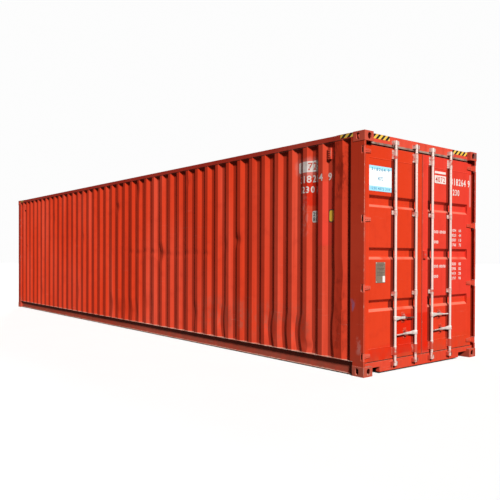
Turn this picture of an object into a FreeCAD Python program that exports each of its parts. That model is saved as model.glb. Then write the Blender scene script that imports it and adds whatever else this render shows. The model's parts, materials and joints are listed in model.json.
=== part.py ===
import FreeCAD, Part
import math
import os
import types

import Sketcher

# Forty-foot high-cube dry freight container, door end at +X.
# Frame: origin under the middle of the box, X along the length, Y across, +Z up, millimetres.

doc = FreeCAD.newDocument("FreightContainer")
sheet = doc.addObject("Spreadsheet::Sheet", "Sizes")

# ---------------------------------------------------------------- driving dimensions
DRIVING = [
    ("length", 12192, "over the corner fittings"),
    ("width", 2438, "over the corner fittings"),
    ("height", 2896, "over the corner fittings"),
    ("frame_inset", 4, "posts and rails stand this far inside the fittings"),
    # corner fittings
    ("fitting_length", 178, "along X"),
    ("fitting_width", 162, "along Y"),
    ("fitting_height", 118, "along Z"),
    ("fitting_wall", 16, "outer side and end wall"),
    ("fitting_back", 12, "inner walls and the plate opposite the slot"),
    ("fitting_plate", 28.5, "plate with the lock slot"),
    ("slot_inset_x", 103.5, "slot centre from the end face"),
    ("slot_inset_y", 89.5, "slot centre from the side face"),
    ("slot_long", 124.5, "lock slot, end to end"),
    ("slot_wide", 63.5, "lock slot, across"),
    ("hole_tall", 79.5, "side and end holes, end to end"),
    ("side_hole_wide", 51, "side hole, across"),
    ("end_hole_wide", 63.5, "end hole, across"),
    ("hole_rise", 59, "hole centre from the slot face"),
    # posts
    ("post_sheet", 6, "pressed post thickness"),
    ("front_post_return", 40, "fold that carries the front wall"),
    ("rear_post_reach", 37, "rear post's side face beyond the fitting"),
    ("rear_post_lip", 30, "front lip of the rear post"),
    ("rear_post_return", 38, "fold that carries the side wall"),
    ("seat_sheet", 12, "channel inside the rear post"),
    # door opening
    ("opening_side", 49, "edge of the clear door opening from the side face"),
    ("opening_drop", 154, "top of the opening below the roof plane"),
    ("door_inset", 55, "door face behind the fitting face"),
    ("door_thickness", 50, "door frame depth"),
    ("seat_gap", 6, "door frame to the seat it closes on"),
    # door header, sill and gutter
    ("beam_inset", 51, "header and sill face behind the fitting face"),
    ("beam_behind", 13, "header's back behind the fitting"),
    ("beam_sheet", 4, "header plate"),
    ("beam_top_drop", 6, "rails and header below the fitting tops"),
    ("header_bottom_drop", 134, "front plate's lower edge below the roof plane"),
    ("gutter_tall", 26, "rain gutter height"),
    ("gutter_lip", 9, "turned-up front edge of the gutter"),
    ("gutter_reach", 6, "rain gutter projection"),
    ("gutter_gap", 12, "end of the rain gutter to the fitting"),
    ("sill_sheet", 4.5, "sill plate"),
    ("sill_bottom", 20, "underside of the sill"),
    ("sill_top", 150, "top of the sill's front"),
    ("sill_cut_wide", 200, "lifting recess beside the fitting"),
    ("sill_cut_top", 85, "top of the lifting recess"),
    ("gusset_sheet", 5, "stiffeners inside the sill"),
    # rails
    ("top_rail_side", 60, "square tube"),
    ("top_rail_sheet", 3, "square tube wall"),
    ("bottom_rail_bottom", 12, "underside of the bottom side rail"),
    ("bottom_rail_top", 170, "top of the bottom side rail"),
    ("bottom_rail_upper", 48, "upper flange"),
    ("bottom_rail_lower", 30, "lower flange"),
    ("bottom_rail_sheet", 4.5, "rail thickness"),
    # side walls
    ("wall_sheet", 2, "side and front wall thickness"),
    ("wall_inset", 1, "outer ribs inside the rail face"),
    ("wall_depth", 36, "side wall corrugation depth"),
    ("wall_outer_flat", 72, "outer rib"),
    ("wall_inner_flat", 70, "inner rib"),
    ("wall_slope", 68, "run of a sloping flank"),
    ("wall_rear_inner", 68, "last inner rib beside the rear post"),
    ("wall_rear_outer", 123, "last outer rib beside the rear post"),
    # front wall
    ("end_depth", 36, "front wall corrugation depth"),
    ("end_flat", 92, "front wall rib"),
    ("end_slope", 30, "run of a front wall flank"),
    # roof
    ("roof_drop", 7, "roof ridges below the fitting tops"),
    ("roof_depth", 20, "roof corrugation depth"),
    ("roof_flat", 91, "roof ridge and valley"),
    ("roof_slope", 13.5, "run of a roof flank"),
    ("corner_plate_long", 270, "roof plate beside a fitting, along X"),
    ("corner_plate_wide", 300, "roof plate beside a fitting, along Y"),
    ("corner_plate_sheet", 3, "roof plate thickness"),
    # floor structure
    ("floor_top", 172, "top of the floor"),
    ("floor_thickness", 28, "plywood"),
    ("floor_sheets", 5, "plywood sheets along each side"),
    ("floor_joint", 2, "gap between sheets"),
    ("floor_edge_gap", 4, "floor to the side rail"),
    ("floor_rail_wide", 70, "steel strip between the two rows of sheets"),
    ("floor_rail_sheet", 4, "strip thickness"),
    ("member_bottom", 22, "underside of the cross members"),
    ("member_flange", 45, "cross member flange"),
    ("member_sheet", 4, "cross member thickness"),
    ("member_spacing", 300, "largest spacing of cross members"),
    ("member_end_gap", 40, "last cross member to the rear fitting"),
    ("tunnel_long", 3315, "gooseneck tunnel from the front face"),
    ("tunnel_wide", 1029, "gooseneck tunnel, inside"),
    ("tunnel_tall", 120, "underside of the tunnel plate"),
    ("tunnel_sheet", 4, "tunnel plate"),
    ("bow_wide", 60, "bow between tunnel plate and floor"),
    ("bow_sheet", 3, "bow thickness"),
    ("front_sill_deep", 48, "front sill, front to back"),
    # hinges
    ("hinge_inset", 18, "hinge pin from the end and side faces"),
    ("hinge_setback", 28, "door edge from the hinge pin"),
    ("hinge_lowest", 238, "lowest hinge"),
    ("hinge_pitch", 811, "from hinge to hinge"),
    ("hinge_count", 4, "hinges on a door"),
    ("knuckle_radius", 14, "hinge knuckle"),
    ("knuckle_tall", 60, "hinge knuckle and blade"),
    ("blade_sheet", 12, "hinge blade on the door"),
    ("blade_reach", 124, "blade over the door from its edge"),
    ("blade_tip", 40, "height of the blade's end"),
    ("arm_root", 11, "hinge arm's back on the knuckle, inward from the pin"),
    ("arm_crank", 8, "hinge arm's front on the knuckle, outward from the pin"),
    ("arm_near", 21, "hinge arm's back meets the door, from the pin"),
    ("arm_far", 31, "hinge arm's front meets the blade, from the pin"),
    ("pin_radius", 8, "hinge pin"),
    ("pin_gap", 0.5, "pin to the holes it turns in"),
    ("lug_sheet", 12, "hinge lug"),
    ("lug_gap", 0.7, "lug to knuckle"),
    ("notch_tall", 89, "post notch at a hinge"),
    ("notch_deep", 42, "post notch from the front lip"),
    # door leaves
    ("leaf_bottom", 160, "lower edge of a door"),
    ("leaf_drop", 148, "upper edge of a door below the roof plane"),
    ("leaf_centre_gap", 11, "door edge from the middle"),
    ("stile_wide", 100, "upright tube of the door frame"),
    ("rail_tall", 150, "top and bottom channel of the door frame"),
    ("leaf_sheet", 3.2, "door frame thickness"),
    ("panel_sheet", 2, "door panel thickness"),
    ("trough_count", 3, "recesses across a door panel"),
    ("trough_pitch", 629, "from recess to recess"),
    ("trough_mouth", 145, "recess height at the face"),
    ("trough_floor", 75, "recess height at its floor"),
    ("trough_depth", 38, "recess depth"),
    ("gasket_sheet", 5, "rubber beyond the door edge"),
    ("gasket_lip", 8, "rubber lip over the seat"),
    ("gasket_lip_deep", 6, "rubber lip, front to back"),
    ("gasket_seat_gap", 2, "rubber to the seat"),
    # locking gear
    ("rod_outer", 600, "outer rod from the middle"),
    ("rod_inner", 178, "inner rod from the middle"),
    ("rod_radius", 17, "locking rod"),
    ("rod_sheet", 3, "locking rod tube wall"),
    ("rod_reach", 29, "rod axis from the header and sill face"),
    ("rod_bottom", 70, "lower end of a rod"),
    ("rod_drop", 50, "upper end of a rod below the roof plane"),
    ("cam_tall", 50, "locking cam"),
    ("cam_inset", 5, "cam from the rod's end"),
    ("cam_radius", 19, "locking cam hub"),
    ("cam_reach", 32, "cam lobe from the rod axis"),
    ("cam_lobe", 26, "cam lobe thickness"),
    ("keeper_tall", 50, "cam keeper"),
    ("keeper_half", 50, "half width of a keeper"),
    ("keeper_cheek", 9, "keeper cheek"),
    ("keeper_sheet", 4, "keeper plate"),
    ("keeper_reach", 40, "keeper cheek projection"),
    ("bracket_bore_gap", 0.6, "rod to the brackets it turns in"),
    ("bracket_wall", 4, "bracket round the rod"),
    ("bracket_half", 42, "half width of a bracket foot"),
    ("bracket_foot", 8, "bracket foot"),
    ("bracket_low", 200, "foot of the lowest bracket"),
    ("bracket_low_tall", 100, "lowest bracket"),
    ("bracket_mid_first", 935, "foot of the second bracket"),
    ("bracket_mid_second", 1935, "foot of the third bracket"),
    ("bracket_mid_tall", 50, "middle brackets"),
    ("bracket_top_drop", 276, "foot of the top bracket below the roof plane"),
    ("bracket_top_tall", 110, "top bracket"),
    # handles
    ("handle_high", 655, "upper handles"),
    ("handle_low", 455, "lower handles"),
    ("handle_reach", 385, "handle end from the rod axis"),
    ("handle_tall", 32, "handle bar"),
    ("handle_sheet", 10, "handle bar thickness"),
    ("hub_radius", 21.5, "handle hub round the rod"),
    ("hub_tall", 56, "handle hub"),
    ("grip_long", 150, "thicker end of a handle"),
    ("grip_radius", 9, "round grip"),
    ("catch_place", 195, "handle catch from the rod axis"),
    ("catch_wide", 60, "catch plate"),
    ("catch_tall", 130, "catch plate"),
    ("catch_sheet", 6, "catch plate and shelves"),
    ("catch_lip", 7, "shelf beyond the middle of the handle"),
    ("catch_gap", 6, "shelf to the handle"),
    # plates and ventilators
    ("data_plate_wide", 180, "data plate"),
    ("data_plate_tall", 250, "data plate"),
    ("data_plate_sheet", 2, "data plate"),
    ("data_plate_edge", 940, "data plate's outer edge from the middle"),
    ("data_plate_bottom", 1100, "data plate's lower edge"),
    ("seal_plate_wide", 56, "seal plate on the right door"),
    ("seal_plate_tall", 110, "seal plate"),
    ("seal_plate_bottom", 1390, "seal plate's lower edge"),
    ("seal_plate_sheet", 6, "seal plate"),
    ("vent_wide", 56, "ventilator cover"),
    ("vent_tall", 140, "ventilator cover"),
    ("vent_reach", 26, "ventilator cover projection"),
    ("vent_bottom", 2620, "ventilator's lower edge"),
]


class Size:
    """A length in millimetres, with the sheet formula that gives it."""

    def __init__(self, mm, formula=None):
        self.mm = float(mm)
        self.formula = formula or f"({self.mm})"

    def joined(self, other, sign, mm):
        return Size(mm, f"({self.formula} {sign} {other.formula})")

    def __add__(self, other):
        other = size(other)
        return self.joined(other, "+", self.mm + other.mm)

    def __sub__(self, other):
        other = size(other)
        return self.joined(other, "-", self.mm - other.mm)

    def __mul__(self, other):
        other = size(other)
        return self.joined(other, "*", self.mm * other.mm)

    def __truediv__(self, other):
        other = size(other)
        return self.joined(other, "/", self.mm / other.mm)

    def __neg__(self):
        return Size(-self.mm, f"(-1 * {self.formula})")


def size(value):
    """The value as a Size, whether it is one already or a plain number."""
    return value if isinstance(value, Size) else Size(value)


def whole(value):
    """The whole part of a Size."""
    return Size(math.floor(value.mm), f"floor({value.formula})")


def read_sheet():
    """Fill the sheet and return its values by name."""
    for row, (name, value, note) in enumerate(DRIVING, start=1):
        sheet.set(f"A{row}", name)
        sheet.set(f"B{row}", str(value))
        sheet.setAlias(f"B{row}", name)
        sheet.set(f"C{row}", note)
    doc.recompute()
    return types.SimpleNamespace(
        **{name: Size(sheet.get(name), f"Sizes.{name}") for name, _, _ in DRIVING})


d = read_sheet()
nodes = []


# ---------------------------------------------------------------- making solids
def bind(thing, prop, value):
    thing.setExpression(prop, size(value).formula)


def box(xs, ys, zs, name="Block"):
    """A block between two corners, each span given as (low, high)."""
    solid = doc.addObject("Part::Box", name)
    for prop, axis, (low, high) in zip(("Length", "Width", "Height"), "xyz", (xs, ys, zs)):
        bind(solid, prop, size(high) - low)
        bind(solid, f"Placement.Base.{axis}", low)
    return solid


def upright(radius, x, y, zs, name="Round"):
    """A cylinder standing on Z."""
    solid = doc.addObject("Part::Cylinder", name)
    bind(solid, "Radius", radius)
    bind(solid, "Height", size(zs[1]) - zs[0])
    for axis, value in zip("xyz", (x, y, zs[0])):
        bind(solid, f"Placement.Base.{axis}", value)
    return solid


def level(radius, axis, span, across, z, name="Round"):
    """A cylinder lying along X or Y over a span, at one place on the other axis."""
    solid = doc.addObject("Part::Cylinder", name)
    turn = FreeCAD.Rotation(FreeCAD.Vector(0, 0, 1), FreeCAD.Vector(*[float(axis == a) for a in "XYZ"]))
    solid.Placement = FreeCAD.Placement(FreeCAD.Vector(), turn)
    bind(solid, "Radius", radius)
    bind(solid, "Height", size(span[1]) - span[0])
    base = (span[0], across, z) if axis == "X" else (across, span[0], z)
    for letter, value in zip("xyz", base):
        bind(solid, f"Placement.Base.{letter}", value)
    return solid


def fuse(*pieces, name="Joined"):
    result = doc.addObject("Part::MultiFuse", name)
    result.Shapes = list(pieces)
    result.Refine = True
    return result


def gather(*pieces, name="Group"):
    result = doc.addObject("Part::Compound", name)
    result.Links = list(pieces)
    return result


def cut(base, *tools, name="Trimmed"):
    result = doc.addObject("Part::Cut", name)
    result.Base = base
    result.Tool = tools[0] if len(tools) == 1 else gather(*tools, name="Tools")
    return result


def mirrored(source, axis, at=None):
    """The source's mirror image in the plane across an axis."""
    result = doc.addObject("Part::Mirroring", "Mirror")
    result.Source = source
    result.Normal = FreeCAD.Vector(*[float(axis == a) for a in "XYZ"])
    if at is not None:
        bind(result, f"Base.{axis.lower()}", at)
    return result


def both_sides(piece):
    """A piece and its image across the middle plane."""
    return gather(piece, mirrored(piece, "Y"))


def origin_part(body, role):
    return next(part for part in body.Origin.OriginFeatures if part.Role == role)


def prism(plane, outline, start, end, name="Section"):
    """A body padded from a closed outline on XY, XZ or YZ, between start and end on the third axis."""
    body = doc.addObject("PartDesign::Body", name)
    sketch = body.newObject("Sketcher::SketchObject", "Outline")
    sketch.AttachmentSupport = (origin_part(body, plane + "_Plane"), [""])
    sketch.MapMode = "FlatFace"
    corners = [(size(a), size(b)) for a, b in outline]
    for index, (a, b) in enumerate(corners):
        after = corners[(index + 1) % len(corners)]
        sketch.addGeometry(Part.LineSegment(FreeCAD.Vector(a.mm, b.mm, 0),
                                            FreeCAD.Vector(after[0].mm, after[1].mm, 0)), False)
    for index in range(len(corners)):
        sketch.addConstraint(Sketcher.Constraint("Coincident", index, 2, (index + 1) % len(corners), 1))
    for index, corner in enumerate(corners):
        for kind, value in zip(("DistanceX", "DistanceY"), corner):
            number = sketch.addConstraint(Sketcher.Constraint(kind, -1, 1, index, 1, value.mm))
            bind(sketch, f"Constraints[{number}]", value)
    # the XZ plane faces -Y, so its sketch starts at the far end
    bind(sketch, "AttachmentOffset.Base.z", -size(end) if plane == "XZ" else start)
    pad = body.newObject("PartDesign::Pad", "Run")
    pad.Profile = sketch
    bind(pad, "Length", size(end) - start)
    return body


def folded(path, thickness):
    """The closed outline of a square-folded plate: its path, and its far side to the left."""
    path = [(size(a), size(b)) for a, b in path]
    steps = [(after[0].mm - here[0].mm, after[1].mm - here[1].mm) for here, after in zip(path, path[1:])]
    lefts = [(-math.copysign(1, v) if abs(v) > abs(u) else 0, math.copysign(1, u) if abs(u) > abs(v) else 0)
             for u, v in steps]
    far = []
    for index, (a, b) in enumerate(path):
        before = lefts[max(index - 1, 0)]
        after = lefts[min(index, len(lefts) - 1)]
        shift = [p if p == q else p + q for p, q in zip(before, after)]
        far.append((a + thickness * shift[0], b + thickness * shift[1]))
    return path + far[::-1]


def repeated(body, axis, span, count):
    """Repeat the last feature of a body evenly over a span."""
    pattern = body.newObject("PartDesign::LinearPattern", "Row")
    pattern.Originals = [body.Tip]
    pattern.Direction = (origin_part(body, axis + "_Axis"), [""])
    pattern.Mode = "Extent"
    bind(pattern, "Length", span)
    bind(pattern, "Occurrences", count)
    body.Tip = pattern
    return body


def pressed_sheet(path, thickness, low, high, plane, name="Sheet"):
    """A corrugated sheet: a path of (a, b) points, thickened to its left, run between low and high."""
    points = [FreeCAD.Vector(a, b, 0) for a, b in path]
    steps = [(after - here).normalize() for here, after in zip(points, points[1:])]
    lefts = [FreeCAD.Vector(-step.y, step.x, 0) for step in steps]
    far = []
    for index, point in enumerate(points):
        before = lefts[max(index - 1, 0)]
        after = lefts[min(index, len(lefts) - 1)]
        middle = before + after
        far.append(point + middle * (2 * thickness / middle.dot(middle)))
    outline = Part.makePolygon(points + far[::-1] + points[:1])
    solid = Part.Face(outline).extrude(FreeCAD.Vector(0, 0, high - low))
    feature = doc.addObject("Part::Feature", name)
    if plane == "XY":
        solid.translate(FreeCAD.Vector(0, 0, low))
    else:
        # the XZ plane: sheet coordinates b go up Z and the run goes along -Y
        solid.rotate(FreeCAD.Vector(), FreeCAD.Vector(1, 0, 0), 90)
        solid.translate(FreeCAD.Vector(0, high, 0))
    feature.Shape = solid
    return feature


def node(label, piece):
    """Name a finished sub-part; its label is its file name."""
    piece.Label = label
    nodes.append(piece)


# ---------------------------------------------------------------- places worked out once
end_x = d.length / 2
side_y = d.width / 2
post_x = end_x - d.frame_inset
post_y = side_y - d.frame_inset
fitting_x = end_x - d.fitting_length
fitting_y = side_y - d.fitting_width
fitting_top = d.height - d.fitting_height
rail_top = d.height - d.beam_top_drop
rail_low = rail_top - d.top_rail_side
door_x = end_x - d.door_inset
leaf_back = door_x - d.door_thickness
seat_x = leaf_back - d.seat_gap
beam_x = end_x - d.beam_inset
beam_back = fitting_x - d.beam_behind
opening_y = side_y - d.opening_side
opening_top = d.height - d.opening_drop
rear_wall_x = fitting_x - d.rear_post_reach
member_top = d.floor_top - d.floor_thickness
web_y = post_y - d.bottom_rail_upper
tunnel_end = d.tunnel_long - end_x
tunnel_y = d.tunnel_wide / 2
pin_x = end_x - d.hinge_inset
pin_y = side_y - d.hinge_inset
leaf_y = pin_y - d.hinge_setback
leaf_top = d.height - d.leaf_drop
rod_x = beam_x + d.rod_reach
rod_top = d.height - d.rod_drop


# ---------------------------------------------------------------- corner fittings
def hole(along, across, long_axis, long, wide, depth):
    """A round-ended hole. along: axis it pierces; across: centre on the other two axes, in XYZ order."""
    half = (long - wide) / 2
    spans = {along: depth}
    others = [axis for axis in "XYZ" if axis != along]
    centre = dict(zip(others, across))
    short_axis = next(axis for axis in others if axis != long_axis)
    spans[long_axis] = (centre[long_axis] - half, centre[long_axis] + half)
    spans[short_axis] = (centre[short_axis] - wide / 2, centre[short_axis] + wide / 2)
    pieces = [box(spans["X"], spans["Y"], spans["Z"])]
    for end in spans[long_axis]:
        place = dict(centre)
        place[long_axis] = end
        if along == "Z":
            pieces.append(upright(wide / 2, place["X"], place["Y"], depth))
        elif along == "X":
            pieces.append(level(wide / 2, "X", depth, place["Y"], place["Z"]))
        else:
            pieces.append(level(wide / 2, "Y", depth, place["X"], place["Z"]))
    return fuse(*pieces, name="Hole")


def corner_fittings():
    """Eight hollow castings, each with a lock slot, a side hole and an end hole."""
    slot_x = end_x - d.slot_inset_x
    slot_y = d.slot_inset_y - side_y
    past = size(5)
    block = box((fitting_x, end_x), (-side_y, -fitting_y), (size(0), d.fitting_height))
    hollow = box((fitting_x + d.fitting_back, end_x - d.fitting_wall),
                 (d.fitting_wall - side_y, -fitting_y - d.fitting_back),
                 (d.fitting_plate, d.fitting_height - d.fitting_back))
    slot = hole("Z", (slot_x, slot_y), "X", d.slot_long, d.slot_wide, (-past, d.fitting_plate + past))
    side_hole = hole("Y", (slot_x, d.hole_rise), "Z", d.hole_tall, d.side_hole_wide,
                     (-side_y - past, d.fitting_wall - side_y + past))
    end_hole = hole("X", (slot_y, d.hole_rise), "Z", d.hole_tall, d.end_hole_wide,
                    (end_x - d.fitting_wall - past, end_x + past))
    fitting = cut(block, hollow, slot, side_hole, end_hole, name="Fitting")
    pair = both_sides(fitting)
    four = gather(pair, mirrored(pair, "X"))
    node("corner_fittings_bottom", four)
    node("corner_fittings_top", mirrored(four, "Z", d.height / 2))


# ---------------------------------------------------------------- front end
def front_end():
    post = prism("XY", folded([(d.front_post_return - post_x, -fitting_y), (-post_x, -fitting_y),
                               (-post_x, -post_y), (-fitting_x, -post_y),
                               (-fitting_x, d.rear_post_return - post_y)], d.post_sheet),
                 d.fitting_height, fitting_top, "FrontPost")
    node("front_corner_posts", both_sides(post))

    outer = box((-post_x, d.top_rail_side - post_x), (-fitting_y, fitting_y), (rail_low, rail_top))
    inner = box((d.top_rail_sheet - post_x, d.top_rail_side - d.top_rail_sheet - post_x),
                (-fitting_y, fitting_y), (rail_low + d.top_rail_sheet, rail_top - d.top_rail_sheet))
    plate = box((d.top_rail_side - post_x, -fitting_x), (-fitting_y, fitting_y),
                (rail_top - d.beam_sheet, rail_top))
    node("front_top_rail", fuse(cut(outer, inner), plate))

    sill = prism("XZ", folded([(d.front_sill_deep - post_x, d.sill_bottom), (-post_x, d.sill_bottom),
                               (-post_x, d.floor_top), (d.front_sill_deep - post_x, d.floor_top)],
                              -d.sill_sheet),
                 -fitting_y, fitting_y, "FrontSill")
    mouth_top = d.tunnel_tall + d.tunnel_sheet
    mouth = box((-end_x, -fitting_x), (-tunnel_y - d.tunnel_sheet, tunnel_y + d.tunnel_sheet),
                (size(0), mouth_top))
    node("front_sill", cut(sill, mouth))

    # rib, flank, rib, flank, starting and ending on an outer rib
    outside = -post_x.mm
    inside = outside + d.end_depth.mm
    span = 2 * fitting_y.mm
    pitch = 2 * (d.end_flat.mm + d.end_slope.mm)
    count = int((span - d.end_flat.mm) // pitch)
    edge = (span - count * pitch + d.end_flat.mm) / 2
    across = fitting_y.mm
    path = [(outside, across)]
    across -= edge
    for _ in range(count):
        path.append((outside, across))
        across -= d.end_slope.mm
        path.append((inside, across))
        across -= d.end_flat.mm
        path.append((inside, across))
        across -= d.end_slope.mm
        path.append((outside, across))
        across -= d.end_flat.mm
    path.append((outside, -fitting_y.mm))
    node("front_wall", pressed_sheet(path, d.wall_sheet.mm, d.floor_top.mm, rail_low.mm, "XY"))


# ---------------------------------------------------------------- side walls, roof and rails
def side_walls():
    """Vertical corrugation, set out from the rear post; the odd length falls beside the front post."""
    outer = d.wall_inset.mm - post_y.mm
    inner = outer + d.wall_depth.mm
    slope = d.wall_slope.mm
    pitch = d.wall_outer_flat.mm + d.wall_inner_flat.mm + 2 * slope
    start = -fitting_x.mm
    along = rear_wall_x.mm
    path = [(along, inner)]
    along -= d.wall_rear_inner.mm
    path.append((along, inner))
    path.append((along - slope, outer))
    along -= slope + d.wall_rear_outer.mm
    path.append((along, outer))
    path.append((along - slope, inner))
    along -= slope
    while along - pitch - d.wall_inner_flat.mm / 2 > start:
        along -= d.wall_inner_flat.mm
        path.append((along, inner))
        path.append((along - slope, outer))
        along -= slope + d.wall_outer_flat.mm
        path.append((along, outer))
        path.append((along - slope, inner))
        along -= slope
    path.append((start, inner))
    left = pressed_sheet(path[::-1], d.wall_sheet.mm, d.bottom_rail_top.mm, rail_low.mm, "XY")
    node("side_wall_left", left)
    node("side_wall_right", mirrored(left, "Y"))


def roof():
    top = (d.height - d.roof_drop).mm
    start = -fitting_x.mm
    end = beam_back.mm
    pitch = 2 * (d.roof_flat.mm + d.roof_slope.mm)
    count = int((end - start - 2 * d.roof_flat.mm) // pitch)
    edge = (end - start - count * pitch + d.roof_flat.mm) / 2
    along = end
    path = [(along, top)]
    along -= edge
    for _ in range(count):
        path.append((along, top))
        along -= d.roof_slope.mm
        path.append((along, top - d.roof_depth.mm))
        along -= d.roof_flat.mm
        path.append((along, top - d.roof_depth.mm))
        along -= d.roof_slope.mm
        path.append((along, top))
        along -= d.roof_flat.mm
    path.append((start, top))
    half = (post_y - d.top_rail_side).mm
    node("roof_panel", pressed_sheet(path, d.wall_sheet.mm, -half, half, "XZ"))

    plate = box((fitting_x - d.corner_plate_long, fitting_x), (-post_y, d.corner_plate_wide - post_y),
                (rail_top, rail_top + d.corner_plate_sheet))
    pair = both_sides(plate)
    node("roof_corner_plates", gather(pair, mirrored(pair, "X")))


def side_rails():
    inside = d.top_rail_side - post_y
    outer = box((-fitting_x, fitting_x), (-post_y, inside), (rail_low, rail_top))
    inner = box((-fitting_x, fitting_x), (d.top_rail_sheet - post_y, inside - d.top_rail_sheet),
                (rail_low + d.top_rail_sheet, rail_top - d.top_rail_sheet))
    node("top_side_rails", both_sides(cut(outer, inner)))

    path = [(-d.bottom_rail_lower - web_y, d.bottom_rail_bottom), (-web_y, d.bottom_rail_bottom),
            (-web_y, d.bottom_rail_top), (-post_y, d.bottom_rail_top)]
    rail = prism("YZ", folded(path, d.bottom_rail_sheet), -fitting_x, fitting_x, "BottomRail")
    node("bottom_side_rails", both_sides(rail))


# ---------------------------------------------------------------- floor and underframe
def floor():
    edge_y = web_y - d.floor_edge_gap
    rail_y = d.floor_rail_wide / 2
    start = d.front_sill_deep - post_x
    run = (fitting_x - start + d.floor_joint) / d.floor_sheets
    board = prism("XY", [(start, -edge_y), (start + run - d.floor_joint, -edge_y),
                         (start + run - d.floor_joint, -rail_y - d.floor_joint),
                         (start, -rail_y - d.floor_joint)], member_top, d.floor_top, "FloorBoard")
    repeated(board, "X", run * (d.floor_sheets - 1), d.floor_sheets)
    node("floor_boards", both_sides(board))

    legs = folded([(-rail_y, member_top), (-rail_y, d.floor_top), (rail_y, d.floor_top),
                   (rail_y, member_top)], -d.floor_rail_sheet)
    node("floor_centre_rail", prism("YZ", legs, start, fitting_x, "FloorRail"))


def channel(x, ys, name):
    """A cross member: web at x, flanges towards +X."""
    path = [(x + d.member_flange, member_top), (x, member_top), (x, d.member_bottom),
            (x + d.member_flange, d.member_bottom)]
    return prism("XZ", folded(path, d.member_sheet), ys[0], ys[1], name)


def underframe():
    last = fitting_x - d.member_end_gap - d.member_flange
    span = last - tunnel_end
    count = whole(span / d.member_spacing) + 2
    members = repeated(channel(tunnel_end, (-web_y, web_y), "CrossMember"), "X", span, count)
    node("cross_members", members)

    first = d.member_end_gap - fitting_x
    reach = tunnel_end - d.member_spacing / 2 - first
    bows = whole(reach / d.member_spacing) + 1
    outrigger = channel(first, (-web_y, -tunnel_y - d.tunnel_sheet), "Outrigger")
    repeated(outrigger, "X", reach, bows)
    node("tunnel_outriggers", both_sides(outrigger))

    side = tunnel_y + d.tunnel_sheet
    top = d.tunnel_tall + d.tunnel_sheet
    run = (d.front_sill_deep - post_x, tunnel_end)
    node("tunnel_plate", box(run, (-side, side), (d.tunnel_tall, top)))
    node("tunnel_sides", both_sides(box(run, (tunnel_y, side), (d.sill_bottom, d.tunnel_tall))))

    bow = prism("XZ", folded([(first, top), (first, member_top), (first + d.bow_wide, member_top),
                              (first + d.bow_wide, top)], -d.bow_sheet), -tunnel_y, tunnel_y, "Bow")
    node("tunnel_bows", repeated(bow, "X", reach, bows))


# ---------------------------------------------------------------- door end frame
def hinge_heights():
    return [d.hinge_lowest + d.hinge_pitch * index for index in range(int(d.hinge_count.mm))]


def rear_posts():
    post = prism("XY", folded([(post_x, d.rear_post_lip - post_y), (post_x, -post_y),
                               (rear_wall_x, -post_y), (rear_wall_x, d.rear_post_return - post_y)],
                              -d.post_sheet), d.fitting_height, rail_low, "RearPost")
    notches = [box((post_x - d.notch_deep, end_x), (-side_y, d.rear_post_lip - post_y),
                   (centre - d.notch_tall / 2, centre + d.notch_tall / 2)) for centre in hinge_heights()]
    over_rail = box((rear_wall_x, fitting_x), (-side_y, -opening_y), (size(0), d.bottom_rail_top))
    under_fitting = box((fitting_x, end_x), (-side_y, -opening_y), (fitting_top, d.height))
    node("rear_corner_posts", both_sides(cut(post, over_rail, under_fitting, *notches)))

    back = rear_wall_x + d.post_sheet
    flange = d.post_sheet - post_y
    seat = prism("XY", folded([(back, flange), (back, -opening_y), (seat_x, -opening_y),
                               (seat_x, flange)], -d.seat_sheet),
                 d.fitting_height, fitting_top, "SeatChannel")
    node("door_post_channels", both_sides(cut(seat, over_rail)))


def hinge_lugs():
    """Two drilled plates at each hinge, welded to the post channel and the post's side."""
    rear_y = d.post_sheet - post_y
    lugs = []
    for centre in hinge_heights():
        for side in (-1, 1):
            near = centre + (d.knuckle_tall / 2 + d.lug_gap) * side
            far = near + d.lug_sheet * side
            span = (near, far) if side > 0 else (far, near)
            arm = box((seat_x, pin_x), (rear_y, d.knuckle_radius - pin_y), span)
            eye = upright(d.knuckle_radius, pin_x, -pin_y, span)
            bore = upright(d.pin_radius + d.pin_gap, pin_x, -pin_y, span)
            lugs.append(cut(fuse(arm, eye), bore, name="Lug"))
    node("hinge_lugs", both_sides(gather(*lugs)))


def door_header():
    front_low = d.height - d.header_bottom_drop
    skin = d.beam_sheet
    outer = box((beam_back, beam_x), (-fitting_y, fitting_y), (front_low, rail_top))
    inner = box((beam_back + skin, beam_x - skin), (-fitting_y, fitting_y),
                (front_low + skin, rail_top - skin))
    seat = box((beam_back, seat_x), (-opening_y, opening_y), (opening_top, front_low))
    hollow = box((beam_back + skin, seat_x - skin), (-opening_y, opening_y),
                 (opening_top + skin, front_low - skin))
    node("door_header", fuse(cut(outer, inner), cut(seat, hollow)))

    low = front_low + d.panel_sheet
    high = low + d.gutter_tall
    lip = low + d.gutter_lip
    path = [(beam_x, high), (beam_x, low), (beam_x + d.gutter_reach, low), (beam_x + d.gutter_reach, lip)]
    node("rain_gutter", prism("XZ", folded(path, d.panel_sheet), d.gutter_gap - fitting_y,
                               fitting_y - d.gutter_gap, "Gutter"))


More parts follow.
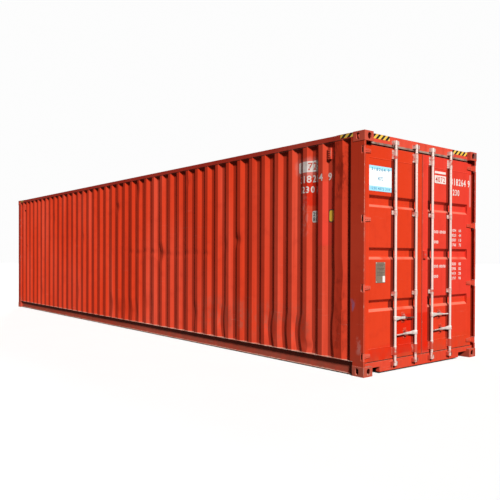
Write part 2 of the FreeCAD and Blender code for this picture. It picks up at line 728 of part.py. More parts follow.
def door_sill():
    skin = d.sill_sheet
    web = box((beam_x - skin, beam_x), (-fitting_y, fitting_y), (d.sill_bottom, d.sill_top))
    wings = box((beam_x - skin, beam_x), (d.post_sheet - post_y, post_y - d.post_sheet),
                (d.fitting_height, d.sill_top))
    shelf = box((seat_x, beam_x), (d.post_sheet - post_y, post_y - d.post_sheet),
                (d.sill_top - skin, d.sill_top))
    riser = box((seat_x - skin, seat_x), (-opening_y, opening_y), (d.sill_top - skin, d.floor_top))
    step = box((fitting_x, seat_x), (-opening_y, opening_y), (d.floor_top - skin, d.floor_top))
    foot = box((seat_x, beam_x), (-fitting_y, fitting_y), (d.sill_bottom, d.sill_bottom + skin))
    ribs = []
    for place in (d.rod_inner, d.rod_outer, fitting_y - d.sill_cut_wide - d.gusset_sheet):
        rib = box((seat_x, beam_x - skin), (place, place + d.gusset_sheet),
                  (d.sill_bottom + skin, d.sill_top - skin))
        ribs += [rib, mirrored(rib, "Y")]
    whole_sill = fuse(web, wings, shelf, riser, step, foot, *ribs)
    recess = box((seat_x - skin, end_x), (-fitting_y, d.sill_cut_wide - fitting_y),
                 (size(0), d.sill_cut_top))
    node("door_sill", cut(whole_sill, recess, mirrored(recess, "Y")))


def cam_keepers():
    """A plate with two cheeks at each end of each locking rod."""
    keepers = []
    middle_low = d.rod_bottom + d.cam_inset + d.cam_tall / 2
    middle_high = rod_top - d.cam_inset - d.cam_tall / 2
    for centre in (middle_low, middle_high):
        for place in (d.rod_inner, d.rod_outer):
            span = (centre - d.keeper_tall / 2, centre + d.keeper_tall / 2)
            plate = box((beam_x, beam_x + d.keeper_sheet),
                        (place - d.keeper_half, place + d.keeper_half), span)
            cheeks = [box((beam_x, beam_x + d.keeper_reach), ys, span)
                      for ys in ((place - d.keeper_half, place - d.keeper_half + d.keeper_cheek),
                                 (place + d.keeper_half - d.keeper_cheek, place + d.keeper_half))]
            keepers.append(fuse(plate, *cheeks, name="Keeper"))
    node("cam_keepers", both_sides(gather(*keepers)))


# ---------------------------------------------------------------- doors
def tube(xs, ys, zs, skin, open_axis):
    """A hollow bar, open along one axis."""
    spans = [(low, high) if axis == open_axis else (low + skin, high - skin)
             for axis, (low, high) in zip("XYZ", (xs, ys, zs))]
    return cut(box(xs, ys, zs), box(*spans))


def leaf_frame(label):
    """Two upright tubes with a channel between them top and bottom, on the left door."""
    depth = (leaf_back, door_x)
    outer_y = (-leaf_y, d.stile_wide - leaf_y)
    inner_y = (-d.leaf_centre_gap - d.stile_wide, -d.leaf_centre_gap)
    stiles = [tube(depth, ys, (d.leaf_bottom, leaf_top), d.leaf_sheet, "Z") for ys in (outer_y, inner_y)]
    rails = []
    for low in (d.leaf_bottom, leaf_top - d.rail_tall):
        high = low + d.rail_tall
        path = [(leaf_back, low), (door_x, low), (door_x, high), (leaf_back, high)]
        rails.append(prism("XZ", folded(path, d.leaf_sheet), outer_y[1], inner_y[0], "LeafRail"))
    return fuse(*stiles, *rails, name=label)


def leaf_panel():
    face = door_x.mm
    floor_x = face - d.trough_depth.mm
    bottom = (d.leaf_bottom + d.rail_tall).mm
    top = (leaf_top - d.rail_tall).mm
    middle = (bottom + top) / 2
    count = int(d.trough_count.mm)
    path = [(face, bottom)]
    for index in range(count):
        centre = middle + (index - (count - 1) / 2) * d.trough_pitch.mm
        path += [(face, centre - d.trough_mouth.mm / 2), (floor_x, centre - d.trough_floor.mm / 2),
                 (floor_x, centre + d.trough_floor.mm / 2), (face, centre + d.trough_mouth.mm / 2)]
    path.append((face, top))
    low = (d.stile_wide - leaf_y).mm
    high = -(d.leaf_centre_gap + d.stile_wide).mm
    return pressed_sheet(path, d.panel_sheet.mm, low, high, "XZ")


def leaf_gasket():
    """A rubber ring round the door edge with a lip that reaches over the seat."""
    edge = d.gasket_sheet
    ring_x = (seat_x + d.gasket_seat_gap, door_x - d.gasket_lip_deep)
    lip_x = (seat_x + d.gasket_seat_gap, seat_x + d.gasket_seat_gap + d.gasket_lip_deep)
    ring = box(ring_x, (-leaf_y - edge, edge - d.leaf_centre_gap), (d.leaf_bottom - edge, leaf_top + edge))
    lip = box(lip_x, (-leaf_y - d.gasket_lip, edge - d.leaf_centre_gap),
              (d.leaf_bottom - edge, leaf_top + edge))
    hollow = box((seat_x, end_x), (-leaf_y, -d.leaf_centre_gap), (d.leaf_bottom, leaf_top))
    return cut(fuse(ring, lip), hollow)


def hinge_blades():
    """Forged straps: a knuckle on the pin, a cranked arm and a tapering plate on the door."""
    blades = []
    face = door_x
    plate_x = door_x + d.blade_sheet
    tip_y = d.blade_reach - leaf_y
    for centre in hinge_heights():
        low = centre - d.knuckle_tall / 2
        high = centre + d.knuckle_tall / 2
        knuckle = upright(d.knuckle_radius, pin_x, -pin_y, (low, high))
        arm = prism("XY", [(pin_x - d.arm_root, -pin_y), (face, d.arm_near - pin_y),
                           (face, d.arm_far - pin_y), (plate_x, d.arm_far - pin_y),
                           (pin_x + d.arm_crank, d.arm_root - pin_y)], low, high, "BladeArm")
        plate = prism("YZ", [(-leaf_y, low), (tip_y, centre - d.blade_tip / 2),
                             (tip_y, centre + d.blade_tip / 2), (-leaf_y, high)],
                      face, plate_x, "BladePlate")
        bore = upright(d.pin_radius + d.pin_gap / 2, pin_x, -pin_y, (low, high))
        blades.append(cut(fuse(knuckle, arm, plate), bore, name="Blade"))
    return gather(*blades)


def hinge_pins():
    reach = d.knuckle_tall / 2 + d.lug_gap + d.lug_sheet
    return gather(*[upright(d.pin_radius, pin_x, -pin_y, (centre - reach, centre + reach))
                    for centre in hinge_heights()])


def rod_brackets():
    """Guides bolted to a door; each rod turns in four of them."""
    top_low = d.height - d.bracket_top_drop
    spans = [(d.bracket_low, d.bracket_low + d.bracket_low_tall),
             (d.bracket_mid_first, d.bracket_mid_first + d.bracket_mid_tall),
             (d.bracket_mid_second, d.bracket_mid_second + d.bracket_mid_tall),
             (top_low, top_low + d.bracket_top_tall)]
    bore = d.rod_radius + d.bracket_bore_gap
    around = bore + d.bracket_wall
    brackets = []
    for place in (-d.rod_outer, -d.rod_inner):
        for span in spans:
            foot = box((door_x, door_x + d.bracket_foot), (place - d.bracket_half, place + d.bracket_half),
                       span)
            saddle = box((door_x, rod_x), (place - around, place + around), span)
            strap = upright(around, rod_x, place, span)
            brackets.append(cut(fuse(foot, saddle, strap), upright(bore, rod_x, place, span),
                                name="Bracket"))
    return gather(*brackets)


def handle_catches(places):
    """A plate with a shelf under the handle and another over it, for each handle of a door."""
    catches = []
    for place, height, side in places:
        centre = place + d.catch_place * side
        ys = (centre - d.catch_wide / 2, centre + d.catch_wide / 2)
        plate = box((door_x, door_x + d.catch_sheet), ys,
                    (height - d.catch_tall / 2, height + d.catch_tall / 2))
        reach = d.handle_tall / 2 + d.catch_gap
        shelves = [box((door_x, rod_x + d.catch_lip), ys, zs)
                   for zs in ((height - reach - d.catch_sheet, height - reach),
                              (height + reach, height + reach + d.catch_sheet))]
        catches.append(fuse(plate, *shelves, name="Catch"))
    return gather(*catches)


def doors():
    frame = leaf_frame("LeafFrame")
    node("door_frame_left", frame)
    node("door_frame_right", mirrored(frame, "Y"))
    for label, make in (("door_panel", leaf_panel), ("door_gasket", leaf_gasket),
                        ("door_hinges", hinge_blades), ("hinge_pins", hinge_pins),
                        ("rod_brackets", rod_brackets)):
        left = make()
        node(label + "_left", left)
        node(label + "_right", mirrored(left, "Y"))
    node("handle_catches_left", handle_catches(GEAR[:2]))
    node("handle_catches_right", handle_catches(GEAR[2:]))

    node("data_plate", box((door_x, door_x + d.data_plate_sheet),
                           (-d.data_plate_edge, d.data_plate_wide - d.data_plate_edge),
                           (d.data_plate_bottom, d.data_plate_bottom + d.data_plate_tall)))
    node("seal_plate", box((door_x, door_x + d.seal_plate_sheet),
                           (d.leaf_centre_gap, d.leaf_centre_gap + d.seal_plate_wide),
                           (d.seal_plate_bottom, d.seal_plate_bottom + d.seal_plate_tall)))


# ---------------------------------------------------------------- locking rods and handles
# place across the doors, handle height, and the side that the handle and the cam lobes point to
GEAR = [(-d.rod_outer, d.handle_high, 1), (-d.rod_inner, d.handle_low, -1),
        (d.rod_inner, d.handle_high, 1), (d.rod_outer, d.handle_low, -1)]
GEAR_NAMES = ["left_outer", "left_inner", "right_inner", "right_outer"]


def locking_rod(place, side):
    """A tube with a cam at each end; the lobe points the way the handle does."""
    pieces = [cut(upright(d.rod_radius, rod_x, place, (d.rod_bottom, rod_top)),
                  upright(d.rod_radius - d.rod_sheet, rod_x, place,
                          (d.rod_bottom + d.cam_inset + d.cam_tall, rod_top - d.cam_inset - d.cam_tall)))]
    for low in (d.rod_bottom + d.cam_inset, rod_top - d.cam_inset - d.cam_tall):
        span = (low, low + d.cam_tall)
        tip = place + d.cam_reach * side
        pieces.append(upright(d.cam_radius, rod_x, place, span))
        pieces.append(box((rod_x - d.cam_lobe / 2, rod_x + d.cam_lobe / 2),
                          (place, tip) if side > 0 else (tip, place), span))
    return fuse(*pieces, name="Rod")


def handle(place, height, side):
    """A hub round the rod, a flat bar and a round grip."""
    def across(near, far):
        ends = (place + near * side, place + far * side)
        return ends if side > 0 else ends[::-1]

    hub_span = (height - d.hub_tall / 2, height + d.hub_tall / 2)
    hub = upright(d.hub_radius, rod_x, place, hub_span)
    bar = box((rod_x - d.handle_sheet / 2, rod_x + d.handle_sheet / 2),
              across(size(0), d.handle_reach - d.grip_long),
              (height - d.handle_tall / 2, height + d.handle_tall / 2))
    grip = level(d.grip_radius, "Y", across(d.handle_reach - d.grip_long - d.grip_radius, d.handle_reach),
                 rod_x, height)
    return cut(fuse(hub, bar, grip), upright(d.rod_radius, rod_x, place, hub_span), name="Handle")


def locking_gear():
    for name, (place, height, side) in zip(GEAR_NAMES, GEAR):
        node("locking_rod_" + name, locking_rod(place, side))
        node("handle_" + name, handle(place, height, side))


def ventilators():
    """Small louvred covers in the recess before the last rib of each side wall."""
    pitch = d.wall_outer_flat + d.wall_inner_flat + d.wall_slope * 2
    rear = rear_wall_x - d.wall_rear_inner - d.wall_slope * 2 - d.wall_rear_outer - d.wall_inner_flat / 2
    recess_y = d.wall_inset - post_y + d.wall_depth
    run = rear + fitting_x - d.wall_inner_flat
    front = rear - pitch * whole(run / pitch)
    covers = [box((centre - d.vent_wide / 2, centre + d.vent_wide / 2),
                  (recess_y - d.vent_reach, recess_y), (d.vent_bottom, d.vent_bottom + d.vent_tall))
              for centre in (rear, front)]
    node("ventilators", both_sides(gather(*covers)))


# ---------------------------------------------------------------- build, check and write
corner_fittings()
front_end()
side_walls()
roof()
side_rails()
floor()
underframe()
rear_posts()
hinge_lugs()
door_header()
door_sill()
cam_keepers()
doors()
locking_gear()
ventilators()
doc.recompute()

for thing in doc.Objects:
    if "Invalid" in thing.State or "Error" in thing.State:
        raise RuntimeError(f"{thing.Label} did not build: {thing.State}")
for piece in nodes:
    if piece.Shape.isNull() or not piece.Shape.isValid():
        raise RuntimeError(f"{piece.Label} has no valid shape")

os.makedirs("parts", exist_ok=True)
for piece in nodes:
    piece.Shape.exportStep(f"parts/{piece.Label}.step")
print(len(nodes), "nodes written")
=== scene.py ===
"""A forty-foot freight container: its looks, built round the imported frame.

Metres, in the part's own frame: X along the box towards the doors, Y across, Z up.
The left side is the one at -Y, on the left of somebody who faces the doors.
"""

import json
import math
import random

import bmesh
import bpy
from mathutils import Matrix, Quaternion, Vector, noise


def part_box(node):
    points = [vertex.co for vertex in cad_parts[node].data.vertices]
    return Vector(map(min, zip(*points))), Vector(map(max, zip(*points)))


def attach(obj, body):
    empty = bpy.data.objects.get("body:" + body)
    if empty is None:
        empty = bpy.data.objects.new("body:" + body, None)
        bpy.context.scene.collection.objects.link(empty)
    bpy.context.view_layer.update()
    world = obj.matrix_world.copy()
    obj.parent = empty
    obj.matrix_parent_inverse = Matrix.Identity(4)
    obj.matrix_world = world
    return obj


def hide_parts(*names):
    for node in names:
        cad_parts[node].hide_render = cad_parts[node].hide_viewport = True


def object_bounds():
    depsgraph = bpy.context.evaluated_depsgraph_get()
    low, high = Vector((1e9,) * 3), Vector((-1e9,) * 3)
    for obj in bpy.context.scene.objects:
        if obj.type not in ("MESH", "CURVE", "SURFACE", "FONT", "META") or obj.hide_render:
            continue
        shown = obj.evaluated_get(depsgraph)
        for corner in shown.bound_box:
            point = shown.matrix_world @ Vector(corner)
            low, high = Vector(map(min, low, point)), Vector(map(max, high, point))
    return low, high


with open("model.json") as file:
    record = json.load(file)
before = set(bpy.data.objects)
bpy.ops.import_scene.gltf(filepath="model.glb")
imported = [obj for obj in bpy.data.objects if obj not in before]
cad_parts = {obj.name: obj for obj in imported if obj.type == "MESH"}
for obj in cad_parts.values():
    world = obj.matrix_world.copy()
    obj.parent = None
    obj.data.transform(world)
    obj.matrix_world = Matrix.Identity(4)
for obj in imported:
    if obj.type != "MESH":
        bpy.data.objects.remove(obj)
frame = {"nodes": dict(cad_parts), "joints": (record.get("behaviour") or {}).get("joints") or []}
cad_low, cad_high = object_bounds()
nodes = frame["nodes"]
UP, ALONG = Vector((0, 0, 1)), Vector((1, 0, 0))
SIGNS = {"left": -1, "right": 1}
SKIN = 0.002            # thickness of the walls', roof's and doors' sheets
CLOSE = 0.00002         # points nearer than this are one


def place(x, y, z):
    return Vector((x, y, z))


def link(thing):
    bpy.context.scene.collection.objects.link(thing)


# ---------------------------------------------------------------- material graphs
class Graph:
    """A material's node tree. Values may be numbers, colours or the outputs of other nodes."""

    def __init__(self, name):
        self.material = bpy.data.materials.new(name)
        self.material.use_nodes = True
        self.tree = self.material.node_tree
        self.shader = self.tree.nodes["Principled BSDF"]
        place = self.tree.nodes.new("ShaderNodeTexCoord")
        self.place = place.outputs["Object"]
        self.x, self.y, self.z = self.parts(self.place)
        self.facing = self.parts(place.outputs["Normal"])

    def make(self, kind, values, **settings):
        made = self.tree.nodes.new(kind)
        for key, value in settings.items():
            setattr(made, key, value)
        for key, value in values.items():
            self.feed(made.inputs[key], value)
        return made

    def feed(self, socket, value):
        if isinstance(value, bpy.types.NodeSocket):
            self.tree.links.new(value, socket)
        elif socket.type == "RGBA":
            socket.default_value = (*value, 1.0)
        else:
            socket.default_value = value

    def parts(self, vector):
        made = self.make("ShaderNodeSeparateXYZ", {0: vector})
        return made.outputs[0], made.outputs[1], made.outputs[2]

    def sum(self, operation, *values, clamp=False):
        made = self.make("ShaderNodeMath", dict(enumerate(values)), operation=operation, use_clamp=clamp)
        return made.outputs[0]

    def times(self, first, *others):
        for other in others:
            first = self.sum("MULTIPLY", first, other)
        return first

    def plus(self, first, second):
        return self.sum("ADD", first, second, clamp=True)

    def step(self, value, low, high):
        """0 below low and 1 above high, or the other way round where low is the larger."""
        made = self.make("ShaderNodeMapRange", {0: value, 1: low, 2: high, 3: 0.0, 4: 1.0},
                         interpolation_type="SMOOTHSTEP")
        return made.outputs[0]

    def noise(self, scale, stretch=(1, 1, 1), shift=0.0, detail=3.0, rough=0.5):
        place = self.make("ShaderNodeMapping", {"Vector": self.place, "Scale": stretch,
                                                "Location": (shift, shift * 0.7, shift * 0.4)})
        made = self.make("ShaderNodeTexNoise", {"Vector": place.outputs[0], "Scale": scale,
                                                "Detail": detail, "Roughness": rough})
        return made.outputs["Fac"]

    def inside(self, lows, highs, soft):
        """1 within a box and 0 outside it; None leaves a side open."""
        mask = 1.0
        for value, low, high in zip((self.x, self.y, self.z), lows, highs):
            if low is not None:
                mask = self.times(self.step(value, low - soft, low + soft), mask)
            if high is not None:
                mask = self.times(self.step(value, high + soft, high - soft), mask)
        return mask

    def blend(self, under, over, amount):
        made = self.make("ShaderNodeMix", {0: amount, 6: under, 7: over}, data_type="RGBA")
        return made.outputs[2]

    def over(self, under, shade, field, low, high, *amounts):
        """Lay a shade over a colour as a field goes from low to high."""
        return self.blend(under, shade, self.times(self.step(field, low, high), *amounts))

    def finish(self, colour, roughness, height=None, depth=0.001, metallic=0.0, specular=0.5):
        for key, value in (("Base Color", colour), ("Roughness", roughness), ("Metallic", metallic),
                           ("Specular IOR Level", specular)):
            self.feed(self.shader.inputs[key], value)
        if height is not None:
            bump = self.make("ShaderNodeBump", {"Height": height, "Distance": depth, "Strength": 1.0})
            self.feed(self.shader.inputs["Normal"], bump.outputs[0])
        return self.material


RUST = (0.105, 0.03, 0.012)
RUST_PALE = (0.23, 0.085, 0.035)
DUST = (0.3, 0.21, 0.16)
SCRATCHED = (0.62, 0.3, 0.24)
SOIL = (0.16, 0.075, 0.05)
GREY_INSIDE = (0.42, 0.43, 0.41)
PAINT_SPECULAR = 0.14


def painted(name, base, pale, dark, fade=0.35, streaks=0.35, rust=0.5, scuffs=0.4, dust_and_sheen=0.5,
            dust_and_sheen_colour=DUST, patches=(), stains=(), ribs=0.0, bands=0.0, soiled=0.35, lined=False,
            gloss=0.42):
    """Weathered paint.

    patches and stains are (colour, lows, highs, soft, amount): boxes of another shade, whole or in
    blotches. ribs darkens what faces straight along Y: painted shade on a corrugated wall's flats.
    bands gives each metre or so of the length its own shade. The larger gloss is, the duller the
    paint. lined paint turns into the lining's grey inside the hold.
    """
    g = Graph(name)
    broad = g.noise(0.42, shift=3.1, detail=2.0)
    mottle = g.noise(6.0, detail=5.0, rough=0.6)
    fine = g.noise(55.0, detail=3.0, shift=1.7)
    run = g.noise(1.0, stretch=(17, 17, 0.55), shift=5.3, detail=4.0, rough=0.62)
    colour = g.over(base, pale, broad, 0.36, 0.72, fade)
    for shade, lows, highs, soft, amount in patches:
        edge = g.plus(g.times(g.inside(lows, highs, soft), 0.8), g.times(g.step(mottle, 0.3, 0.8), 0.25))
        colour = g.over(colour, shade, edge, 0.45, 0.8, amount)
    if bands:
        band = g.noise(1.0, stretch=(3.4, 3.4, 0.22), shift=2.2, detail=2.0)
        colour = g.over(colour, pale, band, 0.5, 0.66, bands)
        colour = g.over(colour, dark, band, 0.48, 0.34, bands * 0.6)
    blotch = g.noise(1.0, stretch=(16, 16, 7), shift=8.5, detail=6.0, rough=0.7)
    for shade, lows, highs, soft, amount in stains:
        reach = g.times(g.inside(lows, highs, soft), g.step(blotch, 0.47, 0.6), amount)
        colour = g.blend(colour, shade, reach)
    # painted shade: faces that look straight along Y, such as a corrugated wall's flats, are darkened
    if ribs:
        across = g.sum("ABSOLUTE", g.facing[1])
        colour = g.over(colour, dark, across, 0.92, 0.985, ribs)
    colour = g.over(colour, dark, mottle, 0.46, 0.86, 0.3)
    colour = g.over(colour, dark, run, 0.5, 0.8, streaks)
    colour = g.over(colour, pale, run, 0.44, 0.22, streaks * 0.5)
    low_down = g.step(g.z, 1.1, 0.15)
    scratch = g.noise(1.0, stretch=(2.2, 2.2, 75), shift=9.0, detail=4.0, rough=0.7)
    scratch = g.times(g.step(scratch, 0.64, 0.7), g.step(g.noise(2.3, shift=7.7), 0.5, 0.64))
    colour = g.blend(colour, SCRATCHED, g.times(scratch, g.plus(low_down, 0.35), scuffs))
    soil = g.times(g.step(g.z, 0.42, 0.02), g.step(g.noise(9.0, shift=2.0, detail=5.0), 0.35, 0.62))
    colour = g.blend(colour, SOIL, g.times(soil, soiled))
    spot = g.noise(34.0, shift=4.4, detail=6.0, rough=0.7)
    spots = g.times(g.step(spot, 0.655, 0.7), g.step(g.noise(1.1, shift=6.6, detail=4.0), 0.5, 0.62), rust)
    colour = g.over(colour, RUST_PALE, spot, 0.6, 0.66, spots, 0.8)
    colour = g.blend(colour, RUST, spots)
    # dust on faces that point up; on the doors its pale pink is also a painted highlight on the upturned
    # slopes
    dust_and_sheen_mask = g.times(g.step(g.facing[2], 0.45, 0.9), g.step(g.noise(3.0, shift=8.0, detail=5.0), 0.2, 0.55))
    colour = g.blend(colour, dust_and_sheen_colour, g.times(dust_and_sheen_mask, dust_and_sheen))
    # painted shade: faces that point down are darker
    colour = g.over(colour, dark, g.facing[2], -0.6, -0.95, 0.6)
    if lined:
        colour = g.blend(colour, lining_colour(g, mottle, run), g.inside(HOLD_LOW, HOLD_HIGH, 0.0006))
    roughness = g.plus(g.plus(g.times(mottle, 0.22), gloss - 0.11), g.times(spots, 0.4))
    height = g.plus(g.times(fine, 0.25), g.times(g.step(spot, 0.62, 0.72), spots, 0.5))
    return g.finish(colour, roughness, height, 0.0006, specular=PAINT_SPECULAR)


def lining_colour(g, mottle, run):
    """The grey paint inside the hold, with scrapes and hand marks low down."""
    scrape = g.noise(1.0, stretch=(1.6, 1.6, 48), shift=12.0, detail=5.0, rough=0.68)
    scrape = g.times(g.step(scrape, 0.56, 0.66), g.step(g.z, 2.3, 0.6))
    colour = g.over(GREY_INSIDE, (0.3, 0.3, 0.28), mottle, 0.4, 0.8)
    colour = g.over(colour, (0.2, 0.15, 0.12), run, 0.52, 0.8, 0.5)
    return g.blend(colour, (0.17, 0.13, 0.11), g.times(scrape, 0.7))


def lining():
    g = Graph("lining_paint")
    mottle = g.noise(6.0, detail=5.0, rough=0.6)
    run = g.noise(1.0, stretch=(17, 17, 0.55), shift=5.3, detail=4.0)
    colour = lining_colour(g, mottle, run)
    return g.finish(colour, g.plus(g.times(mottle, 0.2), 0.42), g.noise(60.0), 0.0005)


def worn_edge_and_highlight(name, paint, metal, bare):
    """Paint worn through on an edge, to pale primer and rust; paler than the face: a painted highlight."""
    g = Graph(name)
    wear = g.noise(11.0, detail=6.0, rough=0.7)
    rust = g.noise(26.0, shift=3.0, detail=5.0)
    colour = g.over(paint, metal, wear, 0.62 - 0.25 * bare, 0.72 - 0.2 * bare)
    colour = g.over(colour, RUST_PALE, rust, 0.56, 0.64, bare)
    return g.finish(colour, g.plus(g.times(wear, 0.3), 0.35), wear, 0.0006)


def zinc(name, base, shade, rust, stain=None, cling=0.17, low=(1.2, 0.1), bare=0.42):
    """Dull galvanised steel: spangle, streaks and a little rust.

    stain is a paint that still clings: more of it (cling) going down between the two heights of low,
    and less of it the larger bare is.
    """
    g = Graph(name)
    spangle = g.make("ShaderNodeTexVoronoi", {"Vector": g.place, "Scale": 85.0}).outputs["Distance"]
    cloud = g.noise(5.0, detail=5.0, rough=0.65)
    run = g.noise(1.0, stretch=(30, 30, 1.2), shift=2.0, detail=4.0)
    colour = g.over(base, shade, spangle, 0.2, 0.8, 0.35)
    colour = g.over(colour, shade, run, 0.45, 0.75, 0.7)
    if stain is not None:
        left = g.noise(13.0, shift=6.0, detail=6.0, rough=0.65)
        lower = g.times(g.step(g.z, *low), cling)
        colour = g.blend(colour, stain, g.step(g.plus(g.times(left, 0.8), lower), bare, bare + 0.12))
    spots = g.times(g.step(g.noise(40.0, shift=9.0, detail=5.0), 0.6, 0.68), g.step(cloud, 0.42, 0.6), rust)
    colour = g.blend(colour, RUST_PALE, spots)
    return g.finish(colour, g.plus(g.times(cloud, 0.25), 0.36), g.plus(g.times(spangle, 0.2), spots),
                    0.0005, metallic=0.25)


def coated(name, base, rust):
    """Thick matt underframe coating with stone chips and rust."""
    g = Graph(name)
    cloud = g.noise(4.0, detail=6.0, rough=0.65)
    chips = g.noise(30.0, shift=2.0, detail=5.0)
    colour = g.blend(base, tuple(value * 1.9 for value in base), g.step(cloud, 0.35, 0.7))
    colour = g.over(colour, RUST, chips, 0.57, 0.63, rust)
    colour = g.over(colour, DUST, g.facing[2], 0.5, 0.95, 0.5)
    return g.finish(colour, g.plus(g.times(cloud, 0.25), 0.55), g.plus(cloud, g.times(chips, 0.5)), 0.0012)


def rubber():
    g = Graph("door_rubber")
    bloom = g.noise(14.0, detail=6.0, rough=0.6)
    colour = g.over((0.016, 0.015, 0.015), (0.075, 0.068, 0.062), bloom, 0.42, 0.72)
    between = g.inside((leaf_low.x, -0.03, None), (None, 0.03, None), 0.002)
    colour = g.blend(colour, (0.42, 0.045, 0.028), g.times(between, 0.85))
    return g.finish(colour, g.plus(g.times(bloom, 0.2), 0.6), g.noise(180.0), 0.0004)


def plywood():
    g = Graph("floor_plywood")
    grain = g.noise(1.0, stretch=(2.2, 70, 20), detail=6.0, rough=0.62)
    board = g.noise(0.9, shift=4.0, detail=3.0)
    scuff = g.noise(1.0, stretch=(1.3, 22, 10), shift=7.0, detail=5.0, rough=0.7)
    colour = g.over((0.2, 0.088, 0.035), (0.33, 0.165, 0.072), grain, 0.34, 0.66)
    colour = g.over(colour, (0.13, 0.055, 0.026), board, 0.45, 0.7, 0.6)
    colour = g.over(colour, (0.4, 0.3, 0.22), scuff, 0.58, 0.66, 0.55)
    colour = g.over(colour, (0.055, 0.035, 0.025), g.facing[2], 0.5, 0.2, 0.45)
    return g.finish(colour, g.plus(g.times(scuff, 0.35), 0.3), grain, 0.0007)


def gutter_paint():
    g = Graph("gutter_chalk")
    cloud = g.noise(3.0, stretch=(1, 2.5, 1), detail=5.0, rough=0.65)
    colour = g.over((0.3, 0.225, 0.185), (0.15, 0.095, 0.075), cloud, 0.4, 0.66)
    colour = g.blend(colour, (0.42, 0.09, 0.055), g.times(g.step(g.noise(22.0, shift=5.0), 0.52, 0.62), 0.5))
    return g.finish(colour, g.plus(g.times(cloud, 0.2), 0.5), cloud, 0.0008)


def plate_metal():
    g = Graph("data_plate_metal")
    cloud = g.noise(16.0, detail=5.0)
    brushed = g.noise(1.0, stretch=(40, 420, 25), detail=2.0)
    lines = g.make("ShaderNodeTexWave", {"Vector": g.place, "Scale": 13.0, "Distortion": 0.4,
                                         "Detail": 2.0}, bands_direction="Z")
    colour = g.over((0.25, 0.185, 0.135), (0.33, 0.26, 0.2), brushed, 0.35, 0.65)
    colour = g.blend(colour, (0.17, 0.12, 0.09), g.times(g.step(lines.outputs["Fac"], 0.55, 0.75), 0.45))
    colour = g.over(colour, (0.42, 0.12, 0.07), cloud, 0.6, 0.7, 0.4)
    return g.finish(colour, g.plus(g.times(cloud, 0.2), 0.38), lines.outputs["Fac"], 0.0003, metallic=0.35)


def marking(name, colour, under, wear, band=None, shaded=0.8):
    """Stencilled paint or film, worn through to what is under it.

    band is a colour and two heights, below and above which it covers the rest.
    """
    g = Graph(name)
    flaked = g.noise(38.0, detail=6.0, rough=0.7)
    cloud = g.noise(7.0, shift=2.5, detail=4.0)
    shade = g.blend(colour, tuple(shaded * value for value in colour), g.step(cloud, 0.42, 0.75))
    if band is not None:
        tint, low, high = band
        edges = g.plus(g.step(g.z, low + 0.002, low - 0.002), g.step(g.z, high - 0.002, high + 0.002))
        shade = g.blend(shade, tint, edges)
    edge = g.plus(g.times(flaked, 0.7), g.times(cloud, 0.3))
    shade = g.over(shade, under, edge, 0.72 - 0.25 * wear, 0.76 - 0.25 * wear)
    return g.finish(shade, g.plus(g.times(cloud, 0.15), 0.38), flaked, 0.0002)


wall_low, wall_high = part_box("side_wall_left")
end_low, end_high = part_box("front_wall")
roof_low, roof_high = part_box("roof_panel")
door_low, door_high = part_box("door_panel_left")
DOOR_FACE = door_high.x
leaf_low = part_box("door_frame_left")[0]
floor_low, floor_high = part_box("floor_boards")

# the inside of the hold, where lined paint is grey
LINED_HALF_WIDTH, LINED_HEAD, GASKET_DEPTH, CLEAR_OF_BOARDS = 1.16, 0.04, 0.012, 0.0005
HOLD_LOW = place(end_low.x + SKIN / 2, -LINED_HALF_WIDTH, floor_high.z + CLEAR_OF_BOARDS)
HOLD_HIGH = place(leaf_low.x - GASKET_DEPTH, LINED_HALF_WIDTH, wall_high.z + LINED_HEAD)

RED = (0.565, 0.0385, 0.011)
RED_PALE = (0.64, 0.085, 0.048)
RED_DARK = (0.25, 0.013, 0.006)
PINK = (0.61, 0.036, 0.021)
FRESH = (0.56, 0.013, 0.0015)
PINK_FRESH = (0.7, 0.042, 0.026)
HAZE = (0.6, 0.34, 0.31)
RED_DEEP = (0.15, 0.012, 0.006)
BROWN = (0.3, 0.09, 0.06)
BLUE_SCUFF = (0.11, 0.16, 0.34)
# pale pink for the doors' upturned faces: some dust, and a painted highlight
DOOR_DUST_AND_SHEEN = (0.72, 0.24, 0.17)

wall_paint = painted(
    "wall_paint", RED, RED_PALE, RED_DARK, lined=True, ribs=0.3, bands=0.42, soiled=0.12,
    patches=[(PINK_FRESH, (5.32, None, 1.55), (5.6, -1.1, 2.36), 0.03, 0.85),
             (FRESH, (5.02, None, 2.05), (5.32, -1.1, 2.4), 0.05, 0.75),
             (HAZE, (4.88, None, 2.42), (5.34, -1.1, 2.7), 0.12, 0.42)],
    stains=[(RED_DEEP, (5.6, None, 2.12), (5.8, -1.1, 2.84), 0.05, 0.6),
            (RED_DEEP, (5.6, None, 0.2), (5.8, -1.1, 1.2), 0.05, 0.4),
            (HAZE, (5.00, None, 1.7), (5.14, -1.1, 2.2), 0.05, 0.4),
            (BROWN, (2.7, None, 0.3), (5.2, -1.1, 0.75), 0.12, 0.45)])
end_paint = painted("end_paint", RED, RED_PALE, RED_DARK, bands=0.3, soiled=0.2)
frame_paint = painted(
    "frame_paint", (0.45, 0.031, 0.01), (0.52, 0.07, 0.038), RED_DARK, rust=0.8, streaks=0.25,
    scuffs=0.8, lined=True, stains=[(BLUE_SCUFF, (5.88, None, 0.77), (5.95, -1.2, 0.91), 0.02, 0.5),
                                    (HAZE, (5.98, None, 0.26), (6.05, -1.2, 0.47), 0.02, 0.35)])
rail_paint = painted("rail_paint", (0.4, 0.05, 0.026), (0.5, 0.13, 0.09), (0.17, 0.02, 0.012),
                     rust=0.9, streaks=0.2, scuffs=0.9)
top_paint = painted("top_paint", (0.36, 0.026, 0.014), (0.48, 0.1, 0.07), (0.13, 0.012, 0.01),
                    rust=0.8, lined=True)


# half width and heights of the painted shadow strip of each lock rod on its door
ROD_SHADOW_REACH, ROD_SHADOW_LOW, ROD_SHADOW_HIGH = 0.054, 0.3, 2.62


